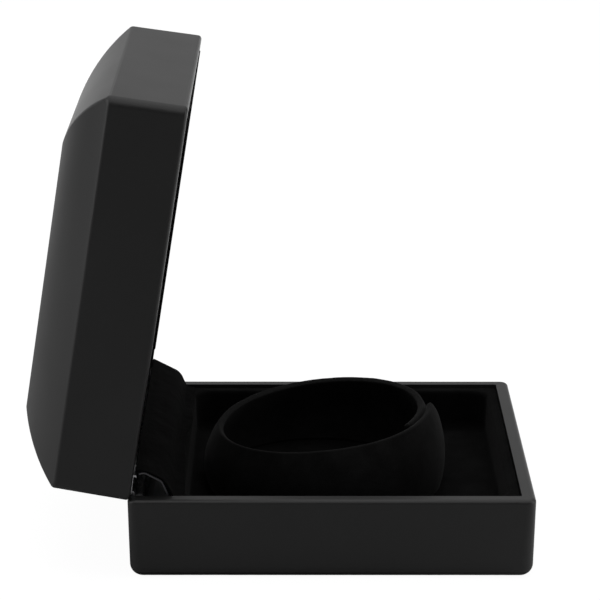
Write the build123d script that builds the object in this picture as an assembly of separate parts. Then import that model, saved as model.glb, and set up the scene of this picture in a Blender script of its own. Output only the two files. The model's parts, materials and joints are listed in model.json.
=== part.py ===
"""Lighted bracelet box: a two-part moulded case with a faceted lid that stands open.

Row frame: +Z is up, +X is to the box's left as seen from its front, and the front faces -Y.
The origin is the centre of the base's underside. The hinge runs along X at the rear.
Every piece of the lid is modelled on the closed box and then turned about the hinge to the open stop.
"""

from build123d import *
import math
import os

# Outer form, in millimetres and degrees
box_width = 95.0
box_depth = 100.0
base_height = 20.5
rim_gap = 0.4
wall = 3.4
draft_angle = 0.9
corner_radius = 2.2
bottom_corner_radius = 3.5
bottom_radius = 3.0
rim_round = 1.0
inner_corner_radius = 0.4

# Lid form
lid_depth = 99.3
lid_side_height = 18.4
lid_height = 29.3
lid_rear_wall = 1.4
lid_skin = 2.2
side_facet_run = 26.0
side_facet_bulge = 1.5
front_facet_run = 19.0
front_facet_bulge = 2.0
rear_facet_run = 11.5
rear_facet_bulge = 1.0
facet_round = 1.2

# Hinge
open_angle = 81.0
hinge_inset = 0.85
hinge_end_margin = 0.4
pin_radius = 0.45
pin_clearance = 0.05
leaf_thickness = 0.45
leaf_gap = 0.1
leaf_bend = 0.15
knuckle_count = 9
knuckle_end_gap = 0.25
knuckle_room = 0.25
lid_finger_reach = 4.6
finger_curl = 0.9
lid_tab_width = 4.6
lid_tab_slot = 0.3
lid_tab_length = 6.2
base_leaf_drop = 5.0
rivet_radius = 0.55
rivet_head_radius = 1.0
rivet_head_height = 0.35
rivet_length = 1.9
lid_rivet_length = 1.3

# Snap spring plate over the hinge, with its velvet cover
plate_thickness = 0.4
plate_bend = 1.2
plate_rear = (1.9, 5.45)
plate_top = (3.3, 5.75)
plate_knee = (7.6, 3.5)
plate_heel = (9.6, -0.9)
plate_foot_length = 5.0
cover_thickness = 0.5
cover_room = 0.3
cover_rear = (1.0, 7.57)
cover_knee = (8.4, 3.7)
cover_foot_gap = 0.1
plate_screw_count = 3
plate_screw_radius = 0.9
plate_screw_head = 1.7
plate_screw_head_height = 0.9
plate_screw_length = 5.2
plate_screw_boss = 2.2
plate_end_gap = 0.2

# Base inside
tray_drop = 1.0
tray_sheet = 0.9
tray_flange = 3.4
tray_rear_flange = 2.4
tray_clearance = 0.2
tray_depth = 11.5
tray_wall_lean = 0.9
tray_mouth_round = 0.45
pocket_radius = 5.0
ledge_width = 1.5
ledge_thickness = 1.6
shelf_thickness = 1.6
web_thickness = 1.1
cover_edge = 1.2
seam_gap = 0.2
cover_plate = 2.2
cover_lip = 1.0
cover_clearance = 0.15
boss_radius = 2.75
boss_inset = 2.0
pillar_radius = 2.5
pillar_x = 20.0
pillar_y = 22.0
screw_clearance = 0.05
bottom_screw_radius = 0.95
bottom_screw_length = 8.0
bottom_screw_head = 1.9

# Bracelet collar: a rolled strip standing in the tray
collar_x = 28.6
collar_y = 25.8
collar_centre = 2.4
collar_strip = 1.7
collar_rise = 6.5
collar_slope = 0.121
collar_flare = 2.6
collar_bulge = 2.2
collar_lap_gap = 0.5
collar_tip_angle = 8.0
collar_tip_round = 10.0
collar_inner_angle = -34.0
collar_lap_lead = 4.0
collar_lap_blend = 62.0

# Lid inside
liner_lip = 0.7
liner_sheet = 1.2
liner_flange = 4.6
liner_clearance = 0.2
liner_depth = 13.5
liner_wall_lean = 0.8
liner_floor = 1.2
hinge_bay_reach = 11.4
hinge_bay_height = 7.3

# Light
light_from_front = 21.0
bezel_radius = 6.5
bezel_flange = 1.0
bezel_tube_radius = 5.0
bezel_bore = 4.0
bezel_neck = 3.3
bezel_length = 6.6
lens_thickness = 1.4
lens_dome = 1.2
lug_spacing = 14.4
lug_radius = 2.2
lamp_radius = 2.5
lamp_flange_radius = 2.9
lamp_flange = 1.0
lamp_body = 4.4
lamp_leg = 0.5
lamp_leg_pitch = 2.54
board_size = 18.6
board_depth = 14.0
board_thickness = 1.2
small_screw_radius = 0.8
small_screw_head = 1.5
board_screw_head_height = 0.9
board_screw_length = 5.4

# Battery holder
battery_from_rear = 38.0
cell_radius = 10.0
cell_thickness = 3.2
cell_count = 2
cell_room = 0.25
holder_wall = 1.4
holder_flange = 1.6
holder_width = 31.0
holder_depth = 25.0
cell_seat = 1.0
contact_room = 1.4
contact_thickness = 0.3
contact_width = 4.0
door_length = 27.0
door_width = 21.4
door_clearance = 0.2
door_boss_radius = 8.0
door_corner_radius = 1.5
door_screw_head_height = 0.7
door_screw_length = 5.0
screw_post_radius = 1.9
screw_post_height = 5.5
tail_reach = 2.0
tail_solder = 0.6

# Lid switch
switch_from_hinge = 8.4
switch_from_middle = 24.0
switch_width = 5.0
switch_length = 7.0
switch_height = 5.6
switch_floor = 0.6
switch_roof = 0.8
plunger_radius = 1.1
plunger_clearance = 0.06
plunger_travel = 0.8
plunger_press_gap = 0.1
plunger_head_radius = 1.3
plunger_head = 0.8
switch_spring_wire = 0.15
switch_spring_radius = 0.85
switch_spring_turns = 3

# Internal leads
lead_radius = 0.5

# Places worked out from the sizes above
hinge_y = box_depth / 2 - hinge_inset
hinge_z = base_height + rim_gap / 2
lid_rim = base_height + rim_gap
lid_front = box_depth / 2 - lid_depth
hinge_half = box_width / 2 - wall - hinge_end_margin
flange_top = base_height - tray_drop
flange_under = flange_top - tray_sheet
tray_floor = base_height - tray_depth
shelf_top = hinge_z + plate_heel[1] - base_leaf_drop
pocket_rear = hinge_y - plate_heel[0] - cover_thickness - cover_room - tray_rear_flange
liner_top = lid_rim + liner_depth
liner_back = liner_top + liner_floor
light_y = lid_front + light_from_front
battery_y = box_depth / 2 - battery_from_rear
switch_y = hinge_y - switch_from_hinge
switch_x = -switch_from_middle


def tapered_block(size, y_front, y_rear, low, high):
    """Rounded block between two levels, each given as height, inset and corner radius."""
    middle = (y_front + y_rear) / 2
    sections = []
    for z, inset, radius in (low, high):
        plan = RectangleRounded(size - 2 * inset, y_rear - y_front - 2 * inset, radius)
        sections.append(Plane.XY.offset(z) * Pos(0, middle) * plan)
    return loft(sections, ruled=True)


def block(x0, x1, y0, y1, z0, z1):
    """Plain box between two corners."""
    return Pos((x0 + x1) / 2, (y0 + y1) / 2, (z0 + z1) / 2) * Box(x1 - x0, y1 - y0, z1 - z0)


def upright(radius, z0, z1, x=0.0, y=0.0):
    """Round bar along Z."""
    return Pos(x, y, (z0 + z1) / 2) * Cylinder(radius, z1 - z0)


def lengthwise(radius, x0, x1, y, z):
    """Round bar along X."""
    return Pos((x0 + x1) / 2, y, z) * Rot(0, 90, 0) * Cylinder(radius, x1 - x0)


def bent_strip(points, thickness, bend):
    """Outline of a bent sheet: its outer side runs through the points, with the metal on their right."""
    outer = [Vector(*p) for p in points]
    inner = []
    for i, point in enumerate(outer):
        before = (point - outer[i - 1]).normalized() if i > 0 else None
        after = (outer[i + 1] - point).normalized() if i < len(outer) - 1 else None
        if before is None or after is None:
            run = after if before is None else before
            inner.append(point + Vector(run.Y, -run.X) * thickness)
            continue
        side = (Vector(before.Y, -before.X) + Vector(after.Y, -after.X)).normalized()
        inner.append(point + side * (thickness / (side.X * after.Y - side.Y * after.X)))
    corners = len(outer) - 2
    near = FilletPolyline(*outer, radius=bend + thickness) if corners else Line(*outer)
    far = FilletPolyline(*inner, radius=bend) if corners else Line(*inner)
    edges = near.edges() + far.edges() + [Line(outer[0], inner[0]), Line(outer[-1], inner[-1])]
    return make_face(edges)


def along_hinge(face, x0, x1):
    """Extrudes an outline given as distance forward of and above the hinge axis."""
    plane = Plane(origin=(x1, hinge_y, hinge_z), x_dir=(0, -1, 0), z_dir=(-1, 0, 0))
    return extrude(plane * face, amount=x1 - x0)


def opened(shape):
    """Turns a piece of the closed lid to its open stop."""
    return shape.rotate(Axis((0, hinge_y, hinge_z), (1, 0, 0)), -open_angle)


def lead(name, points):
    """Round lead through points, with arcs as large as its runs allow."""
    corners = [Vector(*p) for p in points]
    runs = [b - a for a, b in zip(corners, corners[1:])]
    bends = []
    for before, after in zip(runs, runs[1:]):
        half_turn = math.radians(before.get_angle(after) / 2)
        bends.append(0.45 * min(before.length, after.length) / math.tan(half_turn))
    print(name, "bend radii", [round(r, 1) for r in bends])
    path = FilletPolyline(*corners, radius=bends)
    section = Plane(origin=corners[0], z_dir=runs[0]) * Circle(lead_radius)
    return sweep(section, path=path)


# Base

def base_form():
    """Outer form of the closed base, with its bottom cover."""
    lean = base_height * math.tan(math.radians(draft_angle))
    body = tapered_block(
        box_width, -box_depth / 2, box_depth / 2,
        (0, lean, bottom_corner_radius), (base_height, 0, corner_radius),
    )
    body = fillet(body.edges().group_by(Axis.Z)[0], bottom_radius)
    return fillet(body.edges().group_by(Axis.Z)[-1], rim_round)


def corner_places():
    """Centres of the four bosses."""
    x = box_width / 2 - wall - boss_inset
    y = box_depth / 2 - wall - boss_inset
    return [(sx * x, sy * y) for sx in (-1, 1) for sy in (-1, 1)]


def hinge_groove():
    """Room for the knuckles in both rear walls."""
    return lengthwise(
        pin_radius + pin_clearance + leaf_thickness + knuckle_room,
        -hinge_half, hinge_half, hinge_y, hinge_z,
    )


def base_shell():
    inner_x = box_width / 2 - wall
    inner_y = box_depth / 2 - wall
    half_x = box_width / 2 + 1
    half_y = box_depth / 2 + 1
    foot = cover_edge + seam_gap
    shell = base_form() - block(-half_x, half_x, -half_y, half_y, -1, foot)
    lip = wall - cover_lip
    seat_radius = bottom_corner_radius - 1
    seat = (inner_x + lip) * 2
    seat_y = inner_y + lip
    shell -= tapered_block(
        seat, -seat_y, seat_y, (0, lip / 2, seat_radius), (cover_plate, lip / 2, seat_radius)
    )
    shell -= tapered_block(
        2 * inner_x, -inner_y, inner_y,
        (1, 0, inner_corner_radius), (base_height + 1, 0, inner_corner_radius))
    ledge_low = flange_under - ledge_thickness
    web_front = pocket_rear + tray_sheet + 0.3
    web_rear = web_front + web_thickness
    ledge = block(-inner_x, inner_x, -inner_y, web_rear, ledge_low, flange_under)
    ledge -= block(
        -inner_x + ledge_width, inner_x - ledge_width, -inner_y + ledge_width, web_rear + 1,
        ledge_low, flange_under,
    )
    shell += ledge
    for x, y in corner_places():
        top = ledge_low if y < 0 else shelf_top - shelf_thickness
        shell += upright(boss_radius, cover_plate, top, x, y) & block(
            -inner_x, inner_x, -inner_y, inner_y, 0, base_height
        )
    shell += block(-inner_x, inner_x, web_front, inner_y, shelf_top - shelf_thickness, shelf_top)
    shell += block(-inner_x, inner_x, web_front, web_rear, shelf_top, flange_under)
    for x in plate_screw_places():
        shell += upright(plate_screw_boss, cover_plate + 3, shelf_top, x, plate_screw_y())
        shell -= upright(plate_screw_radius + screw_clearance, shelf_top - 5, shelf_top, x, plate_screw_y())
    for x, y in corner_places():
        shell -= upright(
            bottom_screw_radius + screw_clearance, 0, bottom_screw_length + cover_edge + 0.6, x, y
        )
    shell -= hinge_groove()
    recess = hinge_z - leaf_gap / 2 - leaf_thickness
    shell -= block(-hinge_half, hinge_half, inner_y - 1, box_depth / 2 + 1, recess, base_height + 1)
    shell -= lengthwise(leaf_bend + 0.1, -hinge_half, hinge_half, inner_y, recess)
    for x, _, z in base_rivet_places():
        shell -= Pos(x, inner_y, z) * Rot(90, 0, 0) * Cylinder(rivet_radius + screw_clearance, 2 * rivet_length)
    return shell


def bottom_cover():
    inner_x = box_width / 2 - wall
    inner_y = box_depth / 2 - wall
    half_x = box_width / 2 + 1
    half_y = box_depth / 2 + 1
    cover = base_form() & block(-half_x, half_x, -half_y, half_y, 0, cover_edge)
    lip = (wall - cover_lip) / 2 - cover_clearance
    radius = bottom_corner_radius - 1 - cover_clearance
    cover += tapered_block(
        2 * (inner_x + lip), -inner_y - lip, inner_y + lip,
        (cover_edge / 2, 0, radius), (cover_plate, 0, radius),
    )
    for sx in (-1, 1):
        for sy in (-1, 1):
            cover += upright(
                pillar_radius, cover_plate, tray_floor - tray_sheet, sx * pillar_x, sy * pillar_y
            )
    for x, y in corner_places():
        cover -= upright(bottom_screw_head + 0.15, -1, cover_edge + 0.1, x, y)
        cover -= upright(bottom_screw_radius + screw_clearance, 0, cover_plate + 1, x, y)
    return cover


def cross_recess(radius, depth):
    """Cross slot of a screw head that faces -Z, with its mouth at the origin."""
    bar = Box(2 * radius, 0.32 * radius, depth, align=(Align.CENTER, Align.CENTER, Align.MIN))
    return bar + Rot(0, 0, 90) * bar


def screw(radius, head_radius, head_height, length):
    """Screw with its head's face at the origin and its shank towards +Z."""
    body = upright(head_radius, 0, head_height)
    body = fillet(body.edges().group_by(Axis.Z)[0], 0.3 * head_height)
    body += upright(radius, head_height, length)
    body = chamfer(body.edges().group_by(Axis.Z)[-1], 0.35 * radius)
    return body - cross_recess(0.62 * head_radius, 0.6 * head_height)


def bottom_screws():
    one = screw(bottom_screw_radius, bottom_screw_head, cover_edge, bottom_screw_length)
    return [Pos(x, y, 0.1) * one for x, y in corner_places()]


def tray_insert():
    edge_x = box_width / 2 - wall - tray_clearance
    edge_y = -box_depth / 2 + wall + tray_clearance
    pocket_x = box_width / 2 - wall - tray_flange
    pocket_y = -box_depth / 2 + wall + tray_flange
    rear = pocket_rear + tray_rear_flange
    tray = tapered_block(2 * edge_x, edge_y, rear, (flange_under, 0, 1.0), (flange_top, 0, 1.0))
    under = tray_floor - tray_sheet
    tray += tapered_block(
        2 * (pocket_x + tray_sheet), pocket_y - tray_sheet, pocket_rear + tray_sheet,
        (under, tray_wall_lean, pocket_radius + tray_sheet), (flange_top, 0, pocket_radius + tray_sheet),
    )
    tray -= tapered_block(
        2 * pocket_x, pocket_y, pocket_rear,
        (tray_floor, tray_wall_lean, pocket_radius), (flange_top + 0.01, 0, pocket_radius),
    )
    mouth = tray.edges().filter_by_position(Axis.Z, flange_top - 0.005, flange_top + 0.02)
    inside = mouth.filter_by(
        lambda e: abs(e.center().X) < pocket_x + 0.1 and pocket_y - 0.1 < e.center().Y < pocket_rear + 0.1)
    return fillet(inside, tray_mouth_round)


def collar_section(level):
    """Plan of the rolled strip at a share of its height, from its inner end round to its tip."""
    low = tray_floor
    bulge = collar_bulge * 4 * level * (1 - level)
    spread = collar_flare * (1 - level) + bulge
    tip = collar_tip_angle - collar_tip_round * level ** 4
    inner_end = collar_inner_angle - 360
    count = 36

    def at(angle, shift):
        turned = math.radians(angle)
        lap = (angle - collar_inner_angle + collar_lap_lead + collar_lap_blend) / collar_lap_blend
        lap = max(0.0, min(1.0, lap))
        lap = lap * lap * (3 - 2 * lap)
        out = spread + shift + lap * (collar_strip + collar_lap_gap)
        x = (collar_x + out) * math.sin(turned)
        y = collar_centre - (collar_y + out) * math.cos(turned)
        top = base_height + collar_rise - collar_slope * y
        return Vector(x, y, low + (top - low) * level)

    angles = [inner_end + (tip - inner_end) * i / count for i in range(count + 1)]
    outer = Spline(*[at(a, collar_strip / 2) for a in angles])
    inner = Spline(*[at(a, -collar_strip / 2) for a in angles])
    ends = [Line(outer @ 0, inner @ 0), Line(outer @ 1, inner @ 1)]
    return make_face([outer, ends[1], inner, ends[0]])


def bangle_collar():
    levels = (0, 0.2, 0.4, 0.6, 0.8, 0.92, 1.0)
    return loft([collar_section(level) for level in levels], ruled=True)


# Hinge, built on the closed box

def knuckle_spans(which):
    """Stretches of the knuckles of the base (0) or the lid (1) along X."""
    pitch = 2 * hinge_half / knuckle_count
    spans = []
    for i in range(knuckle_count):
        if i % 2 != which:
            start = -hinge_half + i * pitch
            spans.append((start + knuckle_end_gap / 2, start + pitch - knuckle_end_gap / 2))
    return spans


def leaf(which, outline):
    """Hinge leaf: a bent sheet with its knuckles, cleared round the other leaf's knuckles."""
    barrel = pin_radius + pin_clearance + leaf_thickness
    plate = along_hinge(outline, -hinge_half, hinge_half)
    for x0, x1 in knuckle_spans(1 - which):
        plate -= lengthwise(barrel + knuckle_room, x0 - knuckle_end_gap, x1 + knuckle_end_gap, hinge_y, hinge_z)
    for x0, x1 in knuckle_spans(which):
        plate += lengthwise(barrel, x0, x1, hinge_y, hinge_z)
    return plate - lengthwise(pin_radius + pin_clearance, -hinge_half - 1, hinge_half + 1, hinge_y, hinge_z)


def hinge_base_leaf():
    rear_wall = wall - hinge_inset
    top = -leaf_gap / 2
    start = 0.5 * pin_radius
    outline = bent_strip(
        [(start, top), (rear_wall + leaf_thickness, top), (rear_wall + leaf_thickness, top - base_leaf_drop)],
        leaf_thickness, leaf_bend,
    )
    plate = leaf(0, outline)
    for x, y, z in base_rivet_places():
        plate -= Pos(x, y, z) * Rot(90, 0, 0) * Cylinder(rivet_radius + screw_clearance, 4 * leaf_thickness)
    return plate


def lid_tab_places():
    """Middles of the tabs that hold the lid's leaf to the rear wall."""
    return [(a + b) / 2 for a, b in knuckle_spans(1)]


def hinge_lid_leaf():
    """Fingers that reach under the snap spring, and tabs bent up against the lid's rear wall."""
    low = leaf_gap / 2
    wall_face = lid_rear_wall - hinge_inset
    start = 0.5 * pin_radius
    curl = finger_curl / 2
    finger = make_face([
        Line((start, low), (lid_finger_reach, low)),
        ThreePointArc(
            (lid_finger_reach, low), (lid_finger_reach + curl * 0.2, low - curl * 0.6),
            (lid_finger_reach, low - curl * 1.2)),
        Line((lid_finger_reach, low - curl * 1.2), (lid_finger_reach, low - curl * 1.2 - 0.2)),
        ThreePointArc(
            (lid_finger_reach, low - curl * 1.2 - 0.2), (lid_finger_reach + leaf_thickness + curl * 0.2, low),
            (lid_finger_reach, low + leaf_thickness)),
        Line((lid_finger_reach, low + leaf_thickness), (start, low + leaf_thickness)),
        Line((start, low + leaf_thickness), (start, low)),
    ])
    plate = leaf(1, finger)
    tab_outline = bent_strip(
        [(wall_face + leaf_thickness, lid_tab_length), (wall_face + leaf_thickness, low), (start, low)],
        leaf_thickness, leaf_bend,
    )
    barrel = pin_radius + pin_clearance + leaf_thickness
    for x in lid_tab_places():
        half = lid_tab_width / 2
        bay = barrel + knuckle_room
        plate -= block(
            x - half - lid_tab_slot, x + half + lid_tab_slot, hinge_y - 2 * lid_finger_reach, hinge_y - bay,
            hinge_z - lid_finger_reach, hinge_z + lid_finger_reach)
        tab = along_hinge(tab_outline, x - half, x + half)
        plate += tab - lengthwise(
            pin_radius + pin_clearance, x - half - 1, x + half + 1, hinge_y, hinge_z)
    for x, y, z in lid_rivet_places():
        plate -= Pos(x, y, z) * Rot(90, 0, 0) * Cylinder(rivet_radius + screw_clearance, 4 * leaf_thickness)
    return plate


def hinge_pin():
    pin = lengthwise(pin_radius, -hinge_half + 0.2, hinge_half - 0.2, hinge_y, hinge_z)
    return chamfer(pin.edges().filter_by(GeomType.CIRCLE), 0.12)


def base_rivet_places():
    """Rivets through the base's leaf, at the face of the rear wall."""
    y = box_depth / 2 - wall - leaf_thickness
    z = hinge_z - leaf_gap / 2 - 0.55 * base_leaf_drop
    return [((a + b) / 2, y, z) for a, b in knuckle_spans(0)]


def lid_rivet_places():
    """Rivets through the lid's tabs, at the face of the lid's rear wall."""
    y = box_depth / 2 - lid_rear_wall - leaf_thickness
    z = hinge_z + 0.55 * lid_tab_length
    return [(x, y, z) for x in lid_tab_places()]


def rivets(places, length):
    """Round-headed rivets driven towards the rear."""
    made = []
    for x, y, z in places:
        head = Pos(0, 0, -rivet_head_height / 2) * Cylinder(rivet_head_radius, rivet_head_height)
        head = fillet(head.edges().group_by(Axis.Z)[0], 0.6 * rivet_head_height)
        head += upright(rivet_radius, 0, length)
        made.append(Pos(x, y, z) * Rot(-90, 0, 0) * head)
    return made


def plate_screw_places():
    """Screws of the snap spring plate along X."""
    reach = hinge_half - 8
    return [-reach + 2 * reach * i / (plate_screw_count - 1) for i in range(plate_screw_count)]


def plate_screw_y():
    return hinge_y - plate_heel[0] + plate_foot_length / 2 + plate_thickness


def plate_points():
    """Outer side of the snap spring plate, forward of and above the hinge axis."""
    floor = shelf_top - hinge_z
    heel = (plate_heel[0], floor)
    toe = (plate_heel[0] - plate_foot_length, floor)
    return [plate_rear, plate_top, plate_knee, plate_heel, heel, toe]


def snap_spring_plate():
    outline = bent_strip(plate_points()[:5], plate_thickness, plate_bend)
    half = hinge_half - plate_end_gap
    plate = along_hinge(outline, -half, half)
    y = hinge_y - plate_heel[0]
    plate += block(-half, half, y, y + plate_foot_length, shelf_top, shelf_top + plate_thickness)
    for x in plate_screw_places():
        plate -= upright(
            plate_screw_radius + screw_clearance, shelf_top - 1, shelf_top + 2, x, plate_screw_y())
    return plate


def spring_plate_screws():
    head = plate_screw_head_height
    one = Rot(180, 0, 0) * screw(plate_screw_radius, plate_screw_head, head, plate_screw_length)
    z = shelf_top + plate_thickness + head
    return [Pos(x, plate_screw_y(), z) * one for x in plate_screw_places()]


def cover_points():
    """Outer side of the cover: straight over the plate, then down to the tray's rear border."""
    rear, knee = Vector(*cover_rear), Vector(*cover_knee)
    fall = Vector(*plate_heel) - Vector(*plate_knee)
    share = (flange_top + cover_foot_gap - hinge_z - knee.Y) / fall.Y
    return [rear, knee, knee + fall * share]


def hinge_cover():
    """Velvet cover over the snap spring plate."""
    outline = bent_strip(cover_points(), cover_thickness, plate_bend)
    half = hinge_half - plate_end_gap
    return along_hinge(outline, -half, half)


# Lid, built on the closed box

def facet(run, wall_inset, skin, side_height, bulge):
    """Ends and bulge of a facet's profile as inset from the wall's outside and height over the rim."""
    rise = lid_height - side_height
    slope = rise / run
    angle = math.atan(slope)
    low = side_height + wall_inset * slope - skin / math.cos(angle)
    roof = lid_height - skin
    end = run + skin * math.tan(angle / 2)
    return (wall_inset, low), (end, roof), bulge


def profile(front, rear, width_lines, plane):
    """Closed outline of the lid in one direction, from below the rim to the roof."""
    (f0, f1, f_bulge), (r0, r1, r_bulge) = front, rear
    start, stop = width_lines
    floor = -1.0

    def bowed(a, b, bulge, sign):
        a, b = Vector(*a), Vector(*b)
        run = b - a
        normal = Vector(-run.Y, run.X).normalized() * sign
        return ThreePointArc(a, (a + b) * 0.5 + normal * bulge, b)

    p0 = (start + f0[0], f0[1])
    p1 = (start + f1[0], f1[1])
    q0 = (stop - r0[0], r0[1])
    q1 = (stop - r1[0], r1[1])
    edges = [
        Line((p0[0], floor), p0),
        bowed(p0, p1, f_bulge, 1),
        Line(p1, q1),
        bowed(q0, q1, r_bulge, -1),
        Line(q0, (q0[0], floor)),
        Line((q0[0], floor), (p0[0], floor)),
    ]
    return plane * make_face(edges)


def lid_form(walls, skin):
    """Solid form of the lid over its rim: its outside, or with walls and skin its hollow."""
    side, front, rear = walls
    lean = lid_side_height * math.tan(math.radians(draft_angle))
    radius = corner_radius if skin == 0 else inner_corner_radius
    top = lid_height + 1
    lift = lean * top / lid_side_height if skin == 0 else 0
    y_front = lid_front + front
    y_rear = box_depth / 2 - rear
    body = tapered_block(
        box_width - 2 * side, y_front, y_rear, (lid_rim, 0, radius), (lid_rim + top, lift, radius)
    )
    along = Plane(origin=(box_width, 0, lid_rim), x_dir=(0, 1, 0), z_dir=(1, 0, 0))
    across = Plane(origin=(0, box_depth, lid_rim), x_dir=(1, 0, 0), z_dir=(0, -1, 0))
    front_facet = facet(front_facet_run, front, skin, lid_side_height, front_facet_bulge)
    rear_facet = facet(rear_facet_run, rear, skin, lid_side_height, rear_facet_bulge)
    side_facet = facet(side_facet_run, side, skin, lid_side_height, side_facet_bulge)
    lengthways = profile(front_facet, rear_facet, (lid_front, box_depth / 2), along)
    crossways = profile(side_facet, side_facet, (-box_width / 2, box_width / 2), across)
    body &= extrude(lengthways, amount=-2 * box_width)
    return body & extrude(crossways, amount=2 * box_depth)


def lid_shell():
    outer = lid_form((0, 0, 0), 0)
    creases = outer.edges().filter_by(lambda e: e.center().Z > lid_rim + lid_side_height - 1)
    outer = fillet(creases, facet_round)
    outer = fillet(outer.edges().group_by(Axis.Z)[0], rim_round)
    hollow = lid_form((wall, wall, lid_rear_wall), lid_skin)
    inner_x = box_width / 2 - wall
    hollow += block(
        -inner_x + 1.5, inner_x - 1.5, lid_front + wall + 1.5, box_depth / 2 - lid_rear_wall - 1.5,
        lid_rim - 1, lid_rim + 1)
    shell = outer - hollow
    shell -= tapered_block(
        2 * inner_x, lid_front + wall, box_depth / 2 - lid_rear_wall,
        (lid_rim - 1, 0, inner_corner_radius), (lid_rim + 1, 0, inner_corner_radius))
    ledge_low = lid_rim - liner_lip + liner_sheet
    rail_front = hinge_y - hinge_bay_reach
    for side in (-1, 1):
        for share in (0.12, 0.5, 0.82):
            y = lid_front + share * (rail_front - lid_front)
            x0, x1 = sorted((side * (inner_x - 1.2), side * (inner_x + 0.5)))
            shell += block(x0, x1, y - 0.6, y + 0.6, ledge_low, ledge_low + 12)
    shell -= hinge_groove()
    recess = hinge_z + leaf_gap / 2 + leaf_thickness
    rear = box_depth / 2
    shell -= block(-hinge_half, hinge_half, rear - lid_rear_wall - 1, rear + 1, lid_rim - 1, recess)
    shell -= lengthwise(leaf_bend + 0.1, -hinge_half, hinge_half, rear - lid_rear_wall, recess)
    for x, _, z in lid_rivet_places():
        hole = Cylinder(rivet_radius + screw_clearance, 2 * (lid_rivet_length - leaf_thickness))
        shell -= Pos(x, rear - lid_rear_wall, z) * Rot(90, 0, 0) * hole
    return shell


def liner_bounds():
    """Half width, front and rear of the liner's outside."""
    half = box_width / 2 - wall - liner_clearance
    return half, lid_front + wall + liner_clearance, box_depth / 2 - lid_rear_wall - liner_clearance


def lid_liner():
    half, front, rear = liner_bounds()
    lip = lid_rim - liner_lip
    pocket = half - liner_flange
    pocket_front = front + liner_flange
    pocket_end = rear - liner_flange
    sheet = liner_sheet
    liner = tapered_block(2 * half, front, rear, (lip, 0, 1.0), (lip + sheet, 0, 1.0))
    liner += tapered_block(
        2 * (pocket + sheet), pocket_front - sheet, pocket_end + sheet,
        (lip, 0, pocket_radius + sheet), (liner_back, liner_wall_lean, pocket_radius + sheet))
    liner -= tapered_block(
        2 * pocket, pocket_front, pocket_end,
        (lip - 0.01, 0, pocket_radius), (liner_top, liner_wall_lean, pocket_radius))
    bay = hinge_y - hinge_bay_reach
    liner -= block(-half - 1, half + 1, bay, rear + 1, lip - 1, hinge_z + hinge_bay_height)
    hole = bezel_tube_radius + 0.1
    liner -= upright(hole, liner_top - 1, liner_back + 1, 0, light_y)
    door_x = door_length / 2 + door_clearance
    door_y = door_width / 2 + door_clearance
    liner -= block(
        -door_x, door_x, battery_y - door_y, battery_y + door_y, liner_top - 1, liner_back + 1)
    hole = plunger_radius + plunger_clearance
    return liner - upright(hole, liner_top - 1, liner_back + 1, switch_x, switch_y)


# Light

def light_bezel():
    face = liner_top - bezel_flange
    back = liner_top + bezel_length
    bezel = upright(bezel_radius, face, liner_top, 0, light_y)
    bezel = fillet(bezel.edges().group_by(Axis.Z)[0], 0.6 * bezel_flange)
    bezel += upright(bezel_tube_radius, liner_top, back, 0, light_y)
    for side in (-1, 1):
        lug = upright(lug_radius, liner_back + 0.2, back, side * lug_spacing / 2, light_y)
        lug += block(
            min(0, side * lug_spacing / 2), max(0, side * lug_spacing / 2), light_y - 1, light_y + 1,
            liner_back + 0.2, back)
        bezel += lug
    bezel -= upright(bezel_bore, face - 1, face + 0.6 + lens_thickness, 0, light_y)
    bezel -= upright(bezel_neck, face, back + 1, 0, light_y)
    for side in (-1, 1):
        bezel -= upright(
            small_screw_radius + screw_clearance, liner_back + 1.2, back + 1, side * lug_spacing / 2, light_y)
    return bezel


def light_lens():
    seat = liner_top - bezel_flange + 0.6 + lens_thickness
    edge = bezel_bore - 0.05
    low = seat - lens_thickness
    ball = (edge ** 2 + lens_dome ** 2) / (2 * lens_dome)
    dome = Pos(0, light_y, low - lens_dome + ball) * Sphere(ball)
    return dome & upright(edge, low - lens_dome - 1, seat, 0, light_y)


def led_lamp():
    top = liner_top + bezel_length
    body = top - lamp_flange - lamp_body + lamp_radius
    lamp = upright(lamp_flange_radius, top - lamp_flange, top)
    lamp += upright(lamp_radius, body, top)
    lamp += Pos(0, 0, body) * Sphere(lamp_radius)
    for side in (-1, 1):
        x = side * lamp_leg_pitch / 2
        half = lamp_leg / 2
        lamp += block(x - half, x + half, -half, half, top - 0.2, top + board_thickness + 1.2)
    return Pos(0, light_y, 0) * lamp


def light_board():
    low = liner_top + bezel_length
    high = low + board_thickness
    board = block(
        -board_size / 2, board_size / 2, light_y - board_depth / 2, light_y + board_depth / 2, low, high)
    for side in (-1, 1):
        board -= upright(lamp_leg, low - 1, high + 1, side * lamp_leg_pitch / 2, light_y)
        board -= upright(
            small_screw_radius + screw_clearance, low - 1, high + 1, side * lug_spacing / 2, light_y)
    return board


def board_screws():
    top = liner_top + bezel_length + board_thickness
    head = board_screw_head_height
    one = Rot(180, 0, 0) * screw(small_screw_radius, small_screw_head, head, board_screw_length)
    return [Pos(side * lug_spacing / 2, light_y, top + head) * one for side in (-1, 1)]


# Battery holder

def cell_low():
    return liner_back + cell_seat


def cell_high():
    return cell_low() + cell_count * cell_thickness


def door_screw_places():
    """Two screws on a diagonal, clear of the contacts' tails."""
    x = door_length / 2 - small_screw_head - 0.2
    y = door_width / 2 - small_screw_head - 1.7
    return [(side * x, battery_y + side * y) for side in (-1, 1)]


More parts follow.
